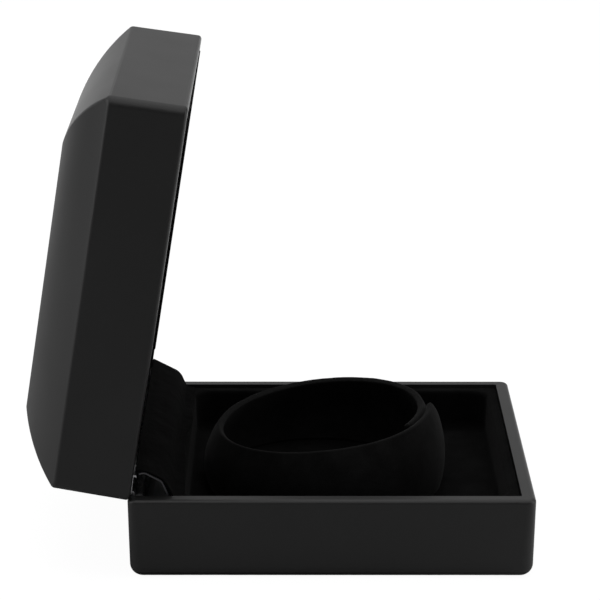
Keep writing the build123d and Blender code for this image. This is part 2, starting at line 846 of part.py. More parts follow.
def battery_holder():
    bore = cell_radius + cell_room
    shell = bore + holder_wall
    roof = cell_high() + contact_room
    holder = block(
        -holder_width / 2, holder_width / 2, battery_y - holder_depth / 2, battery_y + holder_depth / 2,
        liner_back, liner_back + holder_flange)
    holder += upright(shell, liner_back, roof + holder_wall, 0, battery_y)
    for place in door_screw_places():
        holder += upright(screw_post_radius, liner_back, liner_back + screw_post_height, *place)
    holder -= upright(bore, liner_back - 1, roof, 0, battery_y)
    depth = screw_post_height - holder_wall / 2
    for place in door_screw_places():
        holder -= upright(small_screw_radius + screw_clearance, liner_back - 1, liner_back + depth, *place)
    slot = contact_width + 0.4
    holder -= block(
        -holder_width / 2 - 1, 0, battery_y - slot / 2, battery_y + slot / 2, cell_low(), cell_high())
    holder -= block(0, shell + 1, battery_y - slot / 2, battery_y + slot / 2, cell_high(), roof)
    return holder


def coin_cells():
    cells = []
    for i in range(cell_count):
        low = cell_low() + i * cell_thickness
        cell = upright(cell_radius, low, low + cell_thickness - 0.4, 0, battery_y)
        cell += upright(cell_radius - 1.1, low, low + cell_thickness, 0, battery_y)
        cells.append(chamfer(cell.edges().group_by(Axis.Z)[0], 0.25))
    return cells


def battery_contact_plus():
    """Spring strip against the rim of the cells, with its tail outside the holder."""
    x = -cell_radius - 0.02
    t = contact_thickness
    half = contact_width / 2
    low = cell_low() + 0.4
    strip = block(x - t, x, battery_y - half, battery_y + half, low, cell_high() - 0.6)
    tail = cell_radius + cell_room + holder_wall + tail_reach
    strip += block(-tail, x, battery_y - half, battery_y + half, low, low + t)
    return strip


def battery_contact_minus():
    """Bowed strip between the last cell and the holder's roof, with its tail outside."""
    t = contact_thickness
    half = contact_width / 2
    low = cell_high() + 0.02
    tail = cell_radius + cell_room + holder_wall + tail_reach
    crown = contact_room - t - 0.25
    outline = make_face([
        Line((-6, low), (-4, low)),
        ThreePointArc((-4, low), (0, low + crown), (4, low)),
        Line((4, low), (tail, low)),
        Line((tail, low), (tail, low + t)),
        Line((tail, low + t), (4, low + t)),
        ThreePointArc((4, low + t), (0, low + crown + t), (-4, low + t)),
        Line((-4, low + t), (-6, low + t)),
        Line((-6, low + t), (-6, low)),
    ])
    return Pos(0, battery_y + half, 0) * extrude(Plane.XZ * outline, amount=contact_width)


def battery_door():
    x = door_length / 2
    y = door_width / 2
    door = block(-x, x, battery_y - y, battery_y + y, liner_top, liner_back)
    door = fillet(door.edges().filter_by(Axis.Z), door_corner_radius)
    door += upright(door_boss_radius, liner_back, cell_low(), 0, battery_y)
    for place in door_screw_places():
        door -= upright(
            small_screw_head + 0.1, liner_top - 1, liner_top + door_screw_head_height + 0.1, *place)
        door -= upright(small_screw_radius + screw_clearance, liner_top - 1, liner_back + 1, *place)
    return door


def door_screws():
    one = screw(small_screw_radius, small_screw_head, door_screw_head_height, door_screw_length)
    return [Pos(x, y, liner_top + 0.1) * one for x, y in door_screw_places()]


# Switch behind the liner, pressed by the hinge cover's hump as the lid shuts

def switch_high():
    return liner_back + switch_height


def switch_body():
    low, high = liner_back, switch_high()
    body = block(
        switch_x - switch_width / 2, switch_x + switch_width / 2, switch_y - switch_length / 2,
        switch_y + switch_length / 2, low, high)
    body = fillet(body.edges().filter_by(Axis.Z), 0.4)
    body -= upright(plunger_radius + plunger_clearance, low - 1, low + 1, switch_x, switch_y)
    chamber = plunger_head_radius + plunger_clearance
    return body - upright(chamber, low + switch_floor, high - switch_roof, switch_x, switch_y)


def plunger_free_tip():
    """Height of the free plunger's tip on the closed box: its travel below where the cover stops it."""
    rear, knee = Vector(*cover_rear), Vector(*cover_knee)
    near_side = switch_from_hinge - plunger_radius
    cover = rear.Y + (knee.Y - rear.Y) * (near_side - rear.X) / (knee.X - rear.X)
    return hinge_z + cover + plunger_press_gap - plunger_travel


def switch_plunger():
    head = liner_back + switch_floor
    plunger = upright(plunger_radius, plunger_free_tip(), head + 0.1, switch_x, switch_y)
    plunger = fillet(plunger.edges().group_by(Axis.Z)[0], 0.4 * plunger_radius)
    return plunger + upright(plunger_head_radius, head + 0.02, head + plunger_head, switch_x, switch_y)


def switch_spring():
    low = liner_back + switch_floor + plunger_head + 0.02 + switch_spring_wire
    high = switch_high() - switch_roof - switch_spring_wire
    pitch = (high - low) / switch_spring_turns
    path = Helix(pitch=pitch, height=high - low, radius=switch_spring_radius)
    section = Plane(origin=path @ 0, z_dir=path % 0) * Circle(switch_spring_wire)
    return Pos(switch_x, switch_y, low) * sweep(section, path=path)


# Leads held between the holder, the switch and the board

def tail_x():
    return cell_radius + cell_room + holder_wall + tail_reach - tail_solder


def board_top():
    return liner_top + bezel_length + board_thickness


def switch_face():
    """Front face of the switch, and the height at which the leads enter it."""
    return switch_y - switch_length / 2, liner_back + 0.5 * switch_height


def red_lead():
    """From the plus contact to the switch."""
    start_z = cell_low() + 0.4 + contact_thickness
    face_y, face_z = switch_face()
    x = switch_x + 0.8
    return lead("red_lead", [
        (-tail_x(), battery_y, start_z),
        (-tail_x(), battery_y, start_z + 3.2),
        (-tail_x() - 2.2, battery_y + 4.6, start_z + 3.9),
        (-tail_x() - 7.4, battery_y + 11.8, start_z + 2.6),
        (x, face_y - 6.2, face_z + 0.3),
        (x, face_y, face_z),
    ])


def black_lead():
    """From the minus contact to the board."""
    start_z = cell_high() + 0.02 + contact_thickness
    run_z = start_z + 2.6
    return lead("black_lead", [
        (tail_x(), battery_y, start_z),
        (tail_x(), battery_y, run_z),
        (tail_x() + 0.5, battery_y - 6.0, run_z),
        (tail_x() - 1.5, battery_y - 16.0, run_z - 0.8),
        (tail_x() - 6.0, battery_y - 27.0, run_z - 0.4),
        (4.6, light_y + 8.5, run_z - 0.6),
        (4.0, light_y + 4.5, run_z - 0.2),
        (4.0, light_y + 4.5, board_top()),
    ])


def switch_lead():
    """From the switch to the board."""
    face_y, face_z = switch_face()
    x = switch_x - 0.8
    return lead("switch_lead", [
        (x, face_y, face_z),
        (x, face_y - 5.4, face_z),
        (x - 1.8, face_y - 15.0, face_z - 0.5),
        (x - 0.8, face_y - 29.0, face_z - 0.4),
        (x + 3.0, face_y - 43.0, face_z + 0.6),
        (-13.0, light_y + 11.0, board_top() - 0.6),
        (-7.2, light_y + 6.6, board_top() + 2.6),
        (-4.0, light_y + 4.5, board_top() + 3.6),
        (-4.0, light_y + 4.5, board_top()),
    ])


base_pieces = {
    "base_shell": base_shell,
    "bottom_cover": bottom_cover,
    "bottom_screws": bottom_screws,
    "tray_insert": tray_insert,
    "bangle_collar": bangle_collar,
    "hinge_base_leaf": hinge_base_leaf,
    "hinge_pin": hinge_pin,
    "base_leaf_rivets": lambda: rivets(base_rivet_places(), rivet_length),
    "snap_spring_plate": snap_spring_plate,
    "spring_plate_screws": spring_plate_screws,
    "hinge_cover": hinge_cover,
}
lid_pieces = {
    "lid_shell": lid_shell,
    "hinge_lid_leaf": hinge_lid_leaf,
    "lid_leaf_rivets": lambda: rivets(lid_rivet_places(), lid_rivet_length),
    "lid_liner": lid_liner,
    "light_bezel": light_bezel,
    "light_lens": light_lens,
    "led_lamp": led_lamp,
    "light_board": light_board,
    "board_screws": board_screws,
    "battery_holder": battery_holder,
    "coin_cells": coin_cells,
    "battery_contact_plus": battery_contact_plus,
    "battery_contact_minus": battery_contact_minus,
    "battery_door": battery_door,
    "door_screws": door_screws,
    "switch_body": switch_body,
    "switch_plunger": switch_plunger,
    "switch_spring": switch_spring,
    "red_lead": red_lead,
    "black_lead": black_lead,
    "switch_lead": switch_lead,
}


def write(name, made):
    """Writes one node, as one solid or as a group of separate solids."""
    solids = [s for piece in (made if isinstance(made, list) else [made]) for s in piece.solids()]
    shape = solids[0] if len(solids) == 1 else Compound(children=solids)
    export_step(shape, f"parts/{name}.step")


os.makedirs("parts", exist_ok=True)
for name, build in base_pieces.items():
    write(name, build())
for name, build in lid_pieces.items():
    made = build()
    write(name, [opened(p) for p in made] if isinstance(made, list) else opened(made))
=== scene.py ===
"""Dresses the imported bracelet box: its velvet, the finish of every other piece, and the studio."""

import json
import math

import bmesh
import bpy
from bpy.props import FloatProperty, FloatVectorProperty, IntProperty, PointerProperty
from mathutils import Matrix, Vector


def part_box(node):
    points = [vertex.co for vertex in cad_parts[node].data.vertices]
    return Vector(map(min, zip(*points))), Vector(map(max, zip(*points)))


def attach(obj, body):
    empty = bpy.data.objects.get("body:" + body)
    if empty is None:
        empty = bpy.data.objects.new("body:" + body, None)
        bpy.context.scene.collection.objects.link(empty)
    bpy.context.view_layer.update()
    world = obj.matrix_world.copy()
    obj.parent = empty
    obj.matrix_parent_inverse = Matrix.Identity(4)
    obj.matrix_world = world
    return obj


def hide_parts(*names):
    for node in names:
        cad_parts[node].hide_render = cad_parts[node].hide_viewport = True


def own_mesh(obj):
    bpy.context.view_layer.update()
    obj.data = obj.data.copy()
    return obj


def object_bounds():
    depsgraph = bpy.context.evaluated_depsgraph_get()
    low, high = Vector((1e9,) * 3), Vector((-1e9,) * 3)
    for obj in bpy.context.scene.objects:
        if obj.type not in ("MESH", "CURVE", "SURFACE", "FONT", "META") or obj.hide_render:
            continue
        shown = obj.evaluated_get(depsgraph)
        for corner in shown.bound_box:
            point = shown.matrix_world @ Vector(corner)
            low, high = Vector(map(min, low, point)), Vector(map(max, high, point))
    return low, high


bl_info = {
    "name": "Lighted Bracelet Box",
    "version": (1, 0, 0),
    "blender": (4, 5, 0),
    "location": "3D View > Sidebar > Bracelet Box",
    "description": "Builds the velvet of a bracelet box and finishes its shells, hinge and light",
    "category": "Object",
}

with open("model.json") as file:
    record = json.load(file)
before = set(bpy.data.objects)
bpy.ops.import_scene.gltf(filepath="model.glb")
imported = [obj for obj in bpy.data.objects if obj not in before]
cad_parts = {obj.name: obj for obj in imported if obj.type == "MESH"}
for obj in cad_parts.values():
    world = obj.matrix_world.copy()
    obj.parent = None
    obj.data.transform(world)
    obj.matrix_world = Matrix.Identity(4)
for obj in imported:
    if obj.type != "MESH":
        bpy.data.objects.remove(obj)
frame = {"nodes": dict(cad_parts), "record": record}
cad_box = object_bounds()

MM = 0.001
# Points closer than this are one point
NEAR = 0.001 * MM
# How far a cutter stands past what it cuts
PAST = 5 * MM
# A metal whose marks run no particular way
EVEN = (1, 1, 1)

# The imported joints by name, where the lid turns, and how far it stands open
joints = {joint["name"]: joint for joint in frame["record"]["behaviour"]["joints"]}
hinge_place = Vector(joints["lid_hinge"]["pos_m"])
open_turn = math.radians(joints["lid_hinge"]["range_deg"][1])


def length(name, millimetres, description):
    """A size in metres, given in millimetres."""
    return FloatProperty(
        name=name, description=description, default=millimetres * MM, unit="LENGTH", precision=5)


def tone(name, value, description):
    """A colour, or a plain grey where one number is given."""
    colour = value if isinstance(value, tuple) else (value, value, value)
    return FloatVectorProperty(
        name=name, description=description, default=colour, subtype="COLOR", min=0, max=1)


def share(name, value, description):
    """A number from 0 to 1."""
    return FloatProperty(
        name=name, description=description, default=value, min=0, max=1, subtype="FACTOR")


def number(name, value, description):
    """A plain number."""
    return FloatProperty(name=name, description=description, default=value)


def span(name, low, high, description):
    """Two numbers, between which something changes."""
    return FloatVectorProperty(name=name, description=description, default=(low, high), size=2)


def angle(name, degrees, description):
    """A turn, given in degrees."""
    return FloatProperty(
        name=name, description=description, default=math.radians(degrees), subtype="ANGLE")


class ShellLook(bpy.types.PropertyGroup):
    """Soft-touch moulding of the base, its bottom and the lid."""

    colour: tone("Colour", 0.0052, "Plain colour of the soft-touch moulding")
    worn: tone("Worn colour", 0.0074, "Colour where handling has dulled the moulding")
    handled: length("Handled patches", 34.0, "Width of the patches that handling has dulled")
    roughness: share("Roughness", 0.42, "How matt the moulding is")
    smears: length("Smears", 26.0, "Width of the patches where it is a little more or less matt")
    grain: length("Grain", 0.35, "Width of the fine grain")
    grain_depth: length("Grain depth", 0.012, "Depth of the fine grain")


class VelvetLook(bpy.types.PropertyGroup):
    """Black velvet of the tray, collar, hinge cover and lid liner."""

    colour: tone("Colour", 0.0017, "Colour seen down into the pile")
    brushed: tone("Brushed colour", 0.003, "Colour where the pile lies over")
    sheen: share("Sheen", 0.012, "Light caught by the tips of the pile")
    collar_sheen: share("Collar sheen", 0.024, "Light caught by the longer pile of the collar")
    cover_sheen: share("Cover sheen", 0.001, "Light caught by the stretched pile of the cover")
    # Painted light: the collar's velvet is the tray's velvet made paler, standing in for light in the
    # collar's shaded hollow
    collar_painted_light: number("Collar lift", 1.8, "Collar's tones as a multiple of the tray's")
    # Painted shade: the hinge cover's velvet is the tray's velvet made darker, standing in for shade
    # over the cover
    cover_painted_shade: number("Cover lift", 0.85, "Hinge cover's tones as a multiple of the tray's")
    # Painted highlight: the paler colour where the collar's pile stands apart along its rim and end
    # stands in for the light that the pile catches there
    rim_highlight: tone("Ruffled colour", 0.0085, "Colour where the collar's pile stands apart")
    rim_share: share("Rim share", 0.035, "Share of the collar's height where its pile does so")
    end_share: share("End share", 0.00875, "Share of the collar's length where it does so at its end")
    patch: length("Patch", 7.0, "Width of the patches where the pile lies one way")
    pile: length("Pile", 0.32, "Width of the tufts")
    pile_depth: length("Pile depth", 0.09, "Depth of the tufts")
    tuft_share: share("Tuft share", 0.2, "Share of the tufts in the pattern of light and dark")


class MetalLook(bpy.types.PropertyGroup):
    """Steel of the hinge, the fasteners, the switch's coil and the battery."""

    leaf: tone("Leaves", (0.56, 0.56, 0.57), "Rolled steel of the hinge's leaves")
    snap_spring: tone("Snap spring", (0.1, 0.1, 0.105), "Blued steel of the snap spring")
    pin: tone("Pin", (0.6, 0.6, 0.61), "Drawn steel of the hinge pin")
    rivet: tone("Rivets", 0.5, "Plated steel of the rivets")
    screw: tone("Screws", (0.4, 0.41, 0.43), "Zinc on the screws")
    coil: tone("Coil", (0.5, 0.5, 0.51), "Steel wire of the switch's coil")
    cell: tone("Cells", (0.66, 0.67, 0.68), "Bright cans of the coin cells")
    contact: tone("Contacts", (0.62, 0.58, 0.47), "Nickel on the battery contacts")
    stain: length("Stains", 5.0, "Width of the duller patches")
    stain_share: share("Stain share", 0.78, "Brightness of the duller patches")
    line_depth: length("Line depth", 0.006, "Depth of the lines that rolling or drawing leaves")


class PlasticLook(bpy.types.PropertyGroup):
    """Plain and clear mouldings, the board, and the leads' sleeving."""

    bezel: tone("Bezel", (0.02, 0.02, 0.021), "Polished moulding round the light")
    lens: tone("Lens", (0.97, 0.98, 0.985), "Clear moulding over the lamp")
    lamp: tone("Lamp", (0.95, 0.93, 0.82), "Clear body of the lamp")
    board: tone("Board", (0.008, 0.055, 0.02), "Lacquer on the light's board")
    track: tone("Tracks", (0.02, 0.12, 0.045), "Lacquer over the board's tracks")
    holder: tone("Holder", (0.03, 0.03, 0.031), "Moulding that holds the cells")
    door: tone("Door", (0.016, 0.016, 0.0165), "Moulding of the battery door")
    switch: tone("Switch", (0.035, 0.035, 0.037), "Moulding of the switch's body")
    plunger: tone("Plunger", (0.72, 0.71, 0.67), "Undyed moulding of the switch's plunger")
    red_lead: tone("Red leads", (0.42, 0.012, 0.01), "Sleeving of the red leads")
    black_lead: tone("Black lead", (0.012, 0.012, 0.013), "Sleeving of the black lead")


class CollarSizes(bpy.types.PropertyGroup):
    """The rolled strip that the bracelet goes round."""

    radius_x: length("Radius along X", 28.6, "Half the collar's length, at the middle of its rim")
    radius_y: length("Radius along Y", 25.8, "Half the collar's width, at the middle of its rim")
    centre: length("Centre", 2.4, "Middle of the collar, behind the middle of the base")
    strip: length("Strip", 1.7, "Thickness of the strip with its velvet")
    rim: length("Rim", 27.0, "Height of the rim over the table at the middle of the base")
    slope: share("Slope", 0.121, "Fall of the rim towards the rear")
    flare: length("Flare", 2.6, "How far the foot stands out from the rim")
    bulge: length("Bulge", 2.2, "How far the side swells between foot and rim")
    lap_gap: length("Lap gap", 0.5, "Room between the ends of the strip where they overlap")
    lap_blend: angle("Lap blend", 62.0, "Turn over which the outer end moves outwards")
    lap_lead: angle("Lap lead", 4.0, "Turn by which that is done before the inner end starts")
    inner_end: angle("Inner end", -34.0, "Where the strip starts, inside")
    tip: angle("Tip", 8.0, "Where the strip ends, outside")
    tip_round: angle("Tip rounding", 10.0, "How far the tip's top corner is drawn back")
    rim_round: length("Rim rounding", 0.62, "Radius of the velvet over the strip's edges")
    lump: length("Lumps", 5.0, "Width of the slight lumps in the velvet")
    lump_depth: length("Lump depth", 0.14, "Height of the slight lumps")
    tuft: length("Tufts", 0.7, "Width of the tufts in the outline")
    tuft_depth: length("Tuft depth", 0.05, "Height of the tufts in the outline")
    columns: IntProperty(name="Columns", description="Faces along the strip", default=300, min=24)
    rows: IntProperty(name="Rows", description="Faces up the strip", default=26, min=4)


class CoverSizes(bpy.types.PropertyGroup):
    """Velvet cover over the snap spring, with its hem on the tray's rear border."""

    sheet: length("Sheet", 0.5, "Thickness of the velvet")
    reach: length("Reach", 10.1, "How far forward of the hinge pin the velvet meets the tray")
    foot: length("Foot", 0.35, "How high over the tray's border the velvet turns into its hem")
    hem: length("Hem", 2.0, "Width of the hem that lies on the tray")
    hem_press: length("Hem press", 0.1, "How far the hem's edge is pressed into the tray's pile")
    bend: length("Bend", 1.5, "Radius of the bends")
    edge_round: length("Edge rounding", 0.32, "Radius of the velvet's cut edges")
    cut: length("Cut", 14.5, "Length of the velvet from hinge to hem before it is laid")
    ripple: length("Ripple", 0.07, "Height of the slack ripples")
    lump: length("Lumps", 3.0, "Width of the slight lumps in the velvet")
    lump_depth: length("Lump depth", 0.16, "Height of the slight lumps")
    tuft: length("Tufts", 0.6, "Width of the tufts in the outline")
    tuft_depth: length("Tuft depth", 0.05, "Height of the tufts in the outline")
    columns: IntProperty(name="Columns", description="Faces along the hinge", default=220, min=24)
    rows: IntProperty(name="Rows", description="Faces from hinge to hem", default=44, min=8)


class PocketSizes(bpy.types.PropertyGroup):
    """The flocked tray of the base and the liner of the lid."""

    corner: length("Corner", 5.0, "Radius of the upright corners")
    edge_corner: length("Outer corner", 1.0, "Radius of the border's outer corners")
    floor_round: length("Floor rounding", 2.2, "Radius where the walls meet the floor")
    tray_mouth_round: length("Tray mouth", 1.0, "Radius where the tray's border turns down")
    liner_mouth_round: length("Liner mouth", 1.35, "Radius where the liner's border turns in")
    tray_sheet: length("Tray sheet", 0.9, "Thickness of the tray")
    tray_edge: length("Tray edge", 0.2, "Rounding of the tray's cut edges")
    tray_lean: length("Tray lean", 0.4, "How far the tray's walls lean in")
    tray_flange: length("Tray border", 2.7, "Width of the tray's border at its sides and front")
    tray_rear_flange: length("Tray rear border", 2.4, "Width of the tray's border at the hinge")
    liner_sheet: length("Liner sheet", 1.2, "Thickness of the lid's liner")
    liner_edge: length("Liner edge", 0.15, "Rounding of the liner's cut edges")
    liner_lean: length("Liner lean", 0.8, "How far the liner's walls lean in")
    liner_flange: length("Liner border", 4.6, "Width of the liner's border")
    liner_sunk: length("Liner sunk", 0.5, "How much less than its plain solid the liner stands out")
    liner_rear: length("Liner rear", 0.75, "How far forward of the hinge pin the shut liner starts")
    bay_reach: length("Bay reach", 11.4, "How far forward of its pin the hinge's cut-out reaches")
    bay_height: length("Bay height", 7.3, "How high over its pin the hinge's cut-out reaches")
    hole_room: length("Hole room", 0.12, "Room round what comes through the liner")
    light_wall: length("Light wall", 1.05, "Wall of the light's tube, round its lens")
    switch_hole: length("Switch hole", 1.16, "Radius of the hole for the switch's plunger")
    segments: IntProperty(name="Segments", description="Faces round each corner", default=12, min=2)


class StageSizes(bpy.types.PropertyGroup):
    """Camera, floor and room."""

    camera_place: FloatVectorProperty(
        name="Camera", description="Where the camera stands", subtype="TRANSLATION", precision=5,
        default=(-0.649465, 0.009024, 0.246374))
    camera_pitch: angle("Camera pitch", 16.202, "How far the camera looks down")
    camera_heading: angle("Camera heading", -90.111, "Which way the camera looks, from the +Y axis")
    camera_roll: angle("Camera roll", 0.064, "How far the camera leans")
    camera_lens: number("Lens", 157.9, "Focal length in millimetres")
    floor_size: length("Floor", 8000.0, "Side of the floor")
    floor_drop: length("Floor drop", 0.02, "How far the floor is under the box's own underside")
    floor_colour: tone("Floor colour", 0.33, "Colour of the floor, as the box mirrors it")
    floor_glow: share("Floor glow", 0.8, "Share of plain white that the camera sees in the floor")
    floor_white: number("Floor white", 1.2, "Strength of that white")
    floor_turn: number("Floor turn", 1.2, "How much more a step to the right counts than one ahead")
    floor_span: span("Floor span", -0.06, 0.28, "Where the floor starts and stops brightening")
    floor_mirror: share("Mirrored floor", 0.95, "Share of plain white that gloss sees far off")
    sky: share("Sky", 0.3, "Strength of the room's light")
    far_mirror: share("Mirrored far side", 0.95, "Strength of the room in gloss beyond the box")
    near_mirror: share("Mirrored near side", 0.1, "Strength of the room in gloss behind the camera")
    mirror_climb: number("Mirror climb", 1.6, "How much the far room dims in gloss with height")
    mirror_reach: share("Mirror reach", 0.3, "How far towards the camera it is still bright")
    top_mirror: share("Mirrored ceiling", 0.9, "Strength of the room in gloss overhead")
    top_span: span("Ceiling span", 0.3, 0.9, "Heights between which the ceiling brightens")
    left_shade: share("Mirrored left shade", 0.6, "How much dimmer the room is to the left")
    left_span: span("Left span", 0.35, 0.8, "Where that shade starts and is full")


def settings(context, name):
    """The sizes or colours of one group."""
    return getattr(context.scene, "bracelet_box_" + name)


# Modelling helpers

def activate(piece):
    """Selects one piece alone."""
    bpy.ops.object.select_all(action="DESELECT")
    piece.select_set(True)
    bpy.context.view_layer.objects.active = piece


def settle():
    """Puts the selected piece's place, turn and size in its mesh."""
    bpy.ops.object.transform_apply(location=True, rotation=True, scale=True)


def added(name, add, **values):
    """Adds a primitive and names it."""
    bpy.ops.object.select_all(action="DESELECT")
    add(**values)
    settle()
    piece = bpy.context.object
    piece.name = name
    piece.data.name = name
    return piece


def block(name, low, high):
    """A box between two corners."""
    low, high = Vector(low), Vector(high)
    return added(
        name, bpy.ops.mesh.primitive_cube_add, size=1, location=(low + high) / 2, scale=high - low)


def bar(name, radius, low, high, x, y, sides=64):
    """An upright round bar."""
    return added(
        name, bpy.ops.mesh.primitive_cylinder_add, vertices=sides, radius=radius,
        depth=high - low, location=(x, y, (low + high) / 2))


def formed_sheet(name, columns, rows, place):
    """A grid whose points are laid by a function of their shares along and across."""
    piece = added(
        name, bpy.ops.mesh.primitive_grid_add, x_subdivisions=columns, y_subdivisions=rows, size=1)
    for vertex in piece.data.vertices:
        vertex.co = place(vertex.co.x + 0.5, vertex.co.y + 0.5)
    return piece


def enter(piece):
    """Opens one piece for modelling."""
    activate(piece)
    bpy.ops.object.mode_set(mode="EDIT")


def leave():
    """Goes back from modelling to the whole scene."""
    bpy.ops.object.mode_set(mode="OBJECT")


def pick(piece, kind, test):
    """Selects the edges or faces that pass a test."""
    bpy.ops.mesh.select_mode(type=kind)
    bpy.ops.mesh.select_all(action="DESELECT")
    mesh = bmesh.from_edit_mesh(piece.data)
    for item in mesh.edges if kind == "EDGE" else mesh.faces:
        item.select_set(bool(test(item)))
    bmesh.update_edit_mesh(piece.data)


def level_edge(edge, height):
    """Whether an edge lies at a height."""
    return all(abs(v.co.z - height) < NEAR for v in edge.verts)


def shaped(piece, kind, **values):
    """Adds a modifier with its values and applies it."""
    activate(piece)
    modifier = piece.modifiers.new(kind.lower(), kind)
    for key, value in values.items():
        setattr(modifier, key, value)
    bpy.ops.object.modifier_apply(modifier=modifier.name)


def rounded(piece, radius, segments):
    """Rounds the sharp edges of a velvet piece."""
    shaped(
        piece, "BEVEL", width=radius, segments=segments, limit_method="ANGLE",
        angle_limit=math.radians(60))


def roughened(piece, width, depth):
    """Makes a piece slightly uneven."""
    texture = bpy.data.textures.new(piece.name + "_uneven", "CLOUDS")
    texture.noise_scale = width
    shaped(piece, "DISPLACE", texture=texture, texture_coords="LOCAL", strength=depth)


def cut_away(piece, cutters, solver="EXACT"):
    """Cuts other shapes out of a piece and deletes them."""
    for cutter in cutters:
        shaped(piece, "BOOLEAN", object=cutter, operation="DIFFERENCE", solver=solver)
        bpy.data.objects.remove(cutter, do_unlink=True)


def smooth(piece, degrees):
    """Shades a piece smooth across its blunt edges."""
    activate(piece)
    bpy.ops.object.shade_smooth_by_angle(angle=math.radians(degrees))


def dressed(piece, material, body, slot, *nodes):
    """Gives a piece its material and body, and hides the nodes that it stands for. Its slot is not
    used.
    """
    piece.data.materials.clear()
    piece.data.materials.append(material)
    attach(piece, body)
    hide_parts(*nodes)


def finished(material, *nodes):
    """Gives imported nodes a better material."""
    for node in nodes:
        for place in frame["nodes"][node].material_slots:
            place.material = material


def opened():
    """Turn that takes the shut lid to its open stop."""
    turn = Matrix.Rotation(-open_turn, 4, "X")
    return Matrix.Translation(hinge_place) @ turn @ Matrix.Translation(-hinge_place)


def put(piece, matrix):
    """Moves a piece and leaves the object itself at the origin."""
    piece.matrix_world = matrix
    activate(piece)
    settle()


def eased(value):
    """A share from 0 to 1 with a soft start and a soft end."""
    value = max(0.0, min(1.0, value))
    return value * value * (3 - 2 * value)


# Material helpers

class Nodes:
    """Short calls that add nodes to a tree and join them."""

    def __init__(self, tree):
        self.nodes = tree.nodes
        self.links = tree.links

    def node(self, kind, feeds=(), **values):
        """Adds a node. Its feeds give each socket a plain value or another node's output."""
        made = self.nodes.new(kind)
        for key, value in values.items():
            setattr(made, key, value)
        for socket, value in dict(feeds).items():
            if isinstance(value, bpy.types.NodeSocket):
                self.links.new(value, made.inputs[socket])
            else:
                made.inputs[socket].default_value = value
        return made

    def maths(self, operation, a, b):
        """What an operation makes of two numbers."""
        return self.node("ShaderNodeMath", {0: a, 1: b}, operation=operation).outputs["Value"]

    def spread(self, value, low, high, from_low=0.3, from_high=0.7, **values):
        """A number mapped onto another range."""
        return self.node("ShaderNodeMapRange", {
            "Value": value, "From Min": from_low, "From Max": from_high,
            "To Min": low, "To Max": high}, **values).outputs["Result"]

    def eased_spread(self, value, low, high, places):
        """The same with a soft start and a soft end."""
        return self.spread(value, low, high, *places, interpolation_type="SMOOTHSTEP")


class Finish(Nodes):
    """A material with a principled shader, and short calls for its patterns."""

    def __init__(self, name, **values):
        self.material = bpy.data.materials.new(name)
        self.material.use_nodes = True
        super().__init__(self.material.node_tree)
        self.shader = self.nodes["Principled BSDF"]
        self.coords = self.node("ShaderNodeTexCoord").outputs["Object"]
        for key, value in values.items():
            socket = key.replace("_", " ").title().replace("Ior", "IOR")
            self.shader.inputs[socket].default_value = value

    def feed(self, socket, output):
        """Joins a pattern to the shader."""
        self.links.new(output, self.shader.inputs[socket])

    def stretched(self, scale):
        """Object coordinates scaled by axis."""
        return self.node(
            "ShaderNodeMapping", {"Vector": self.coords, "Scale": scale}).outputs["Vector"]

    def noise(self, width, detail=3.0, roughness=0.55, coords=None):
        """Soft noise whose lumps are about one width across."""
        return self.node("ShaderNodeTexNoise", {
            "Vector": coords or self.coords, "Scale": 1 / width,
            "Detail": detail, "Roughness": roughness}).outputs["Fac"]

    def blend(self, value, colours, places=(0.3, 0.7)):
        """A number mapped onto two colours."""
        ramp = self.node("ShaderNodeValToRGB", {"Fac": value})
        for mark, colour, place in zip(ramp.color_ramp.elements, colours, places):
            mark.position = place
            mark.color = (*colour, 1)
        return ramp.outputs["Color"]

    def mixed(self, amount, pattern, colour):
        """A pattern of colours fading into a plain colour."""
        # Sockets 6 and 7 take the two colours, and output 2 gives what they make
        feeds = {0: amount, 6: pattern, 7: (*colour, 1)}
        return self.node("ShaderNodeMix", feeds, data_type="RGBA").outputs[2]

    def bump(self, height, depth, strength=1.0):
        """Raises the surface by a pattern."""
        made = self.node(
            "ShaderNodeBump", {"Height": height, "Distance": depth, "Strength": strength})
        self.feed("Normal", made.outputs["Normal"])


def dimmed(colour, level):
    """A colour at a share of its brightness, or at a multiple of it."""
    return [level * part for part in colour]


def soft_touch(look):
    """Matt moulding with a fine grain, dulled a little where hands hold it."""
    finish = Finish("soft_touch_black", ior=1.48)
    handled = finish.noise(look.handled, detail=4)
    finish.feed("Base Color", finish.blend(handled, (look.colour, look.worn), (0.42, 0.72)))
    smears = finish.noise(look.smears, detail=2)
    finish.feed(
        "Roughness", finish.spread(smears, look.roughness - 0.012, look.roughness + 0.016))
    finish.bump(finish.noise(look.grain, detail=2), look.grain_depth, 0.6)
    return finish.material


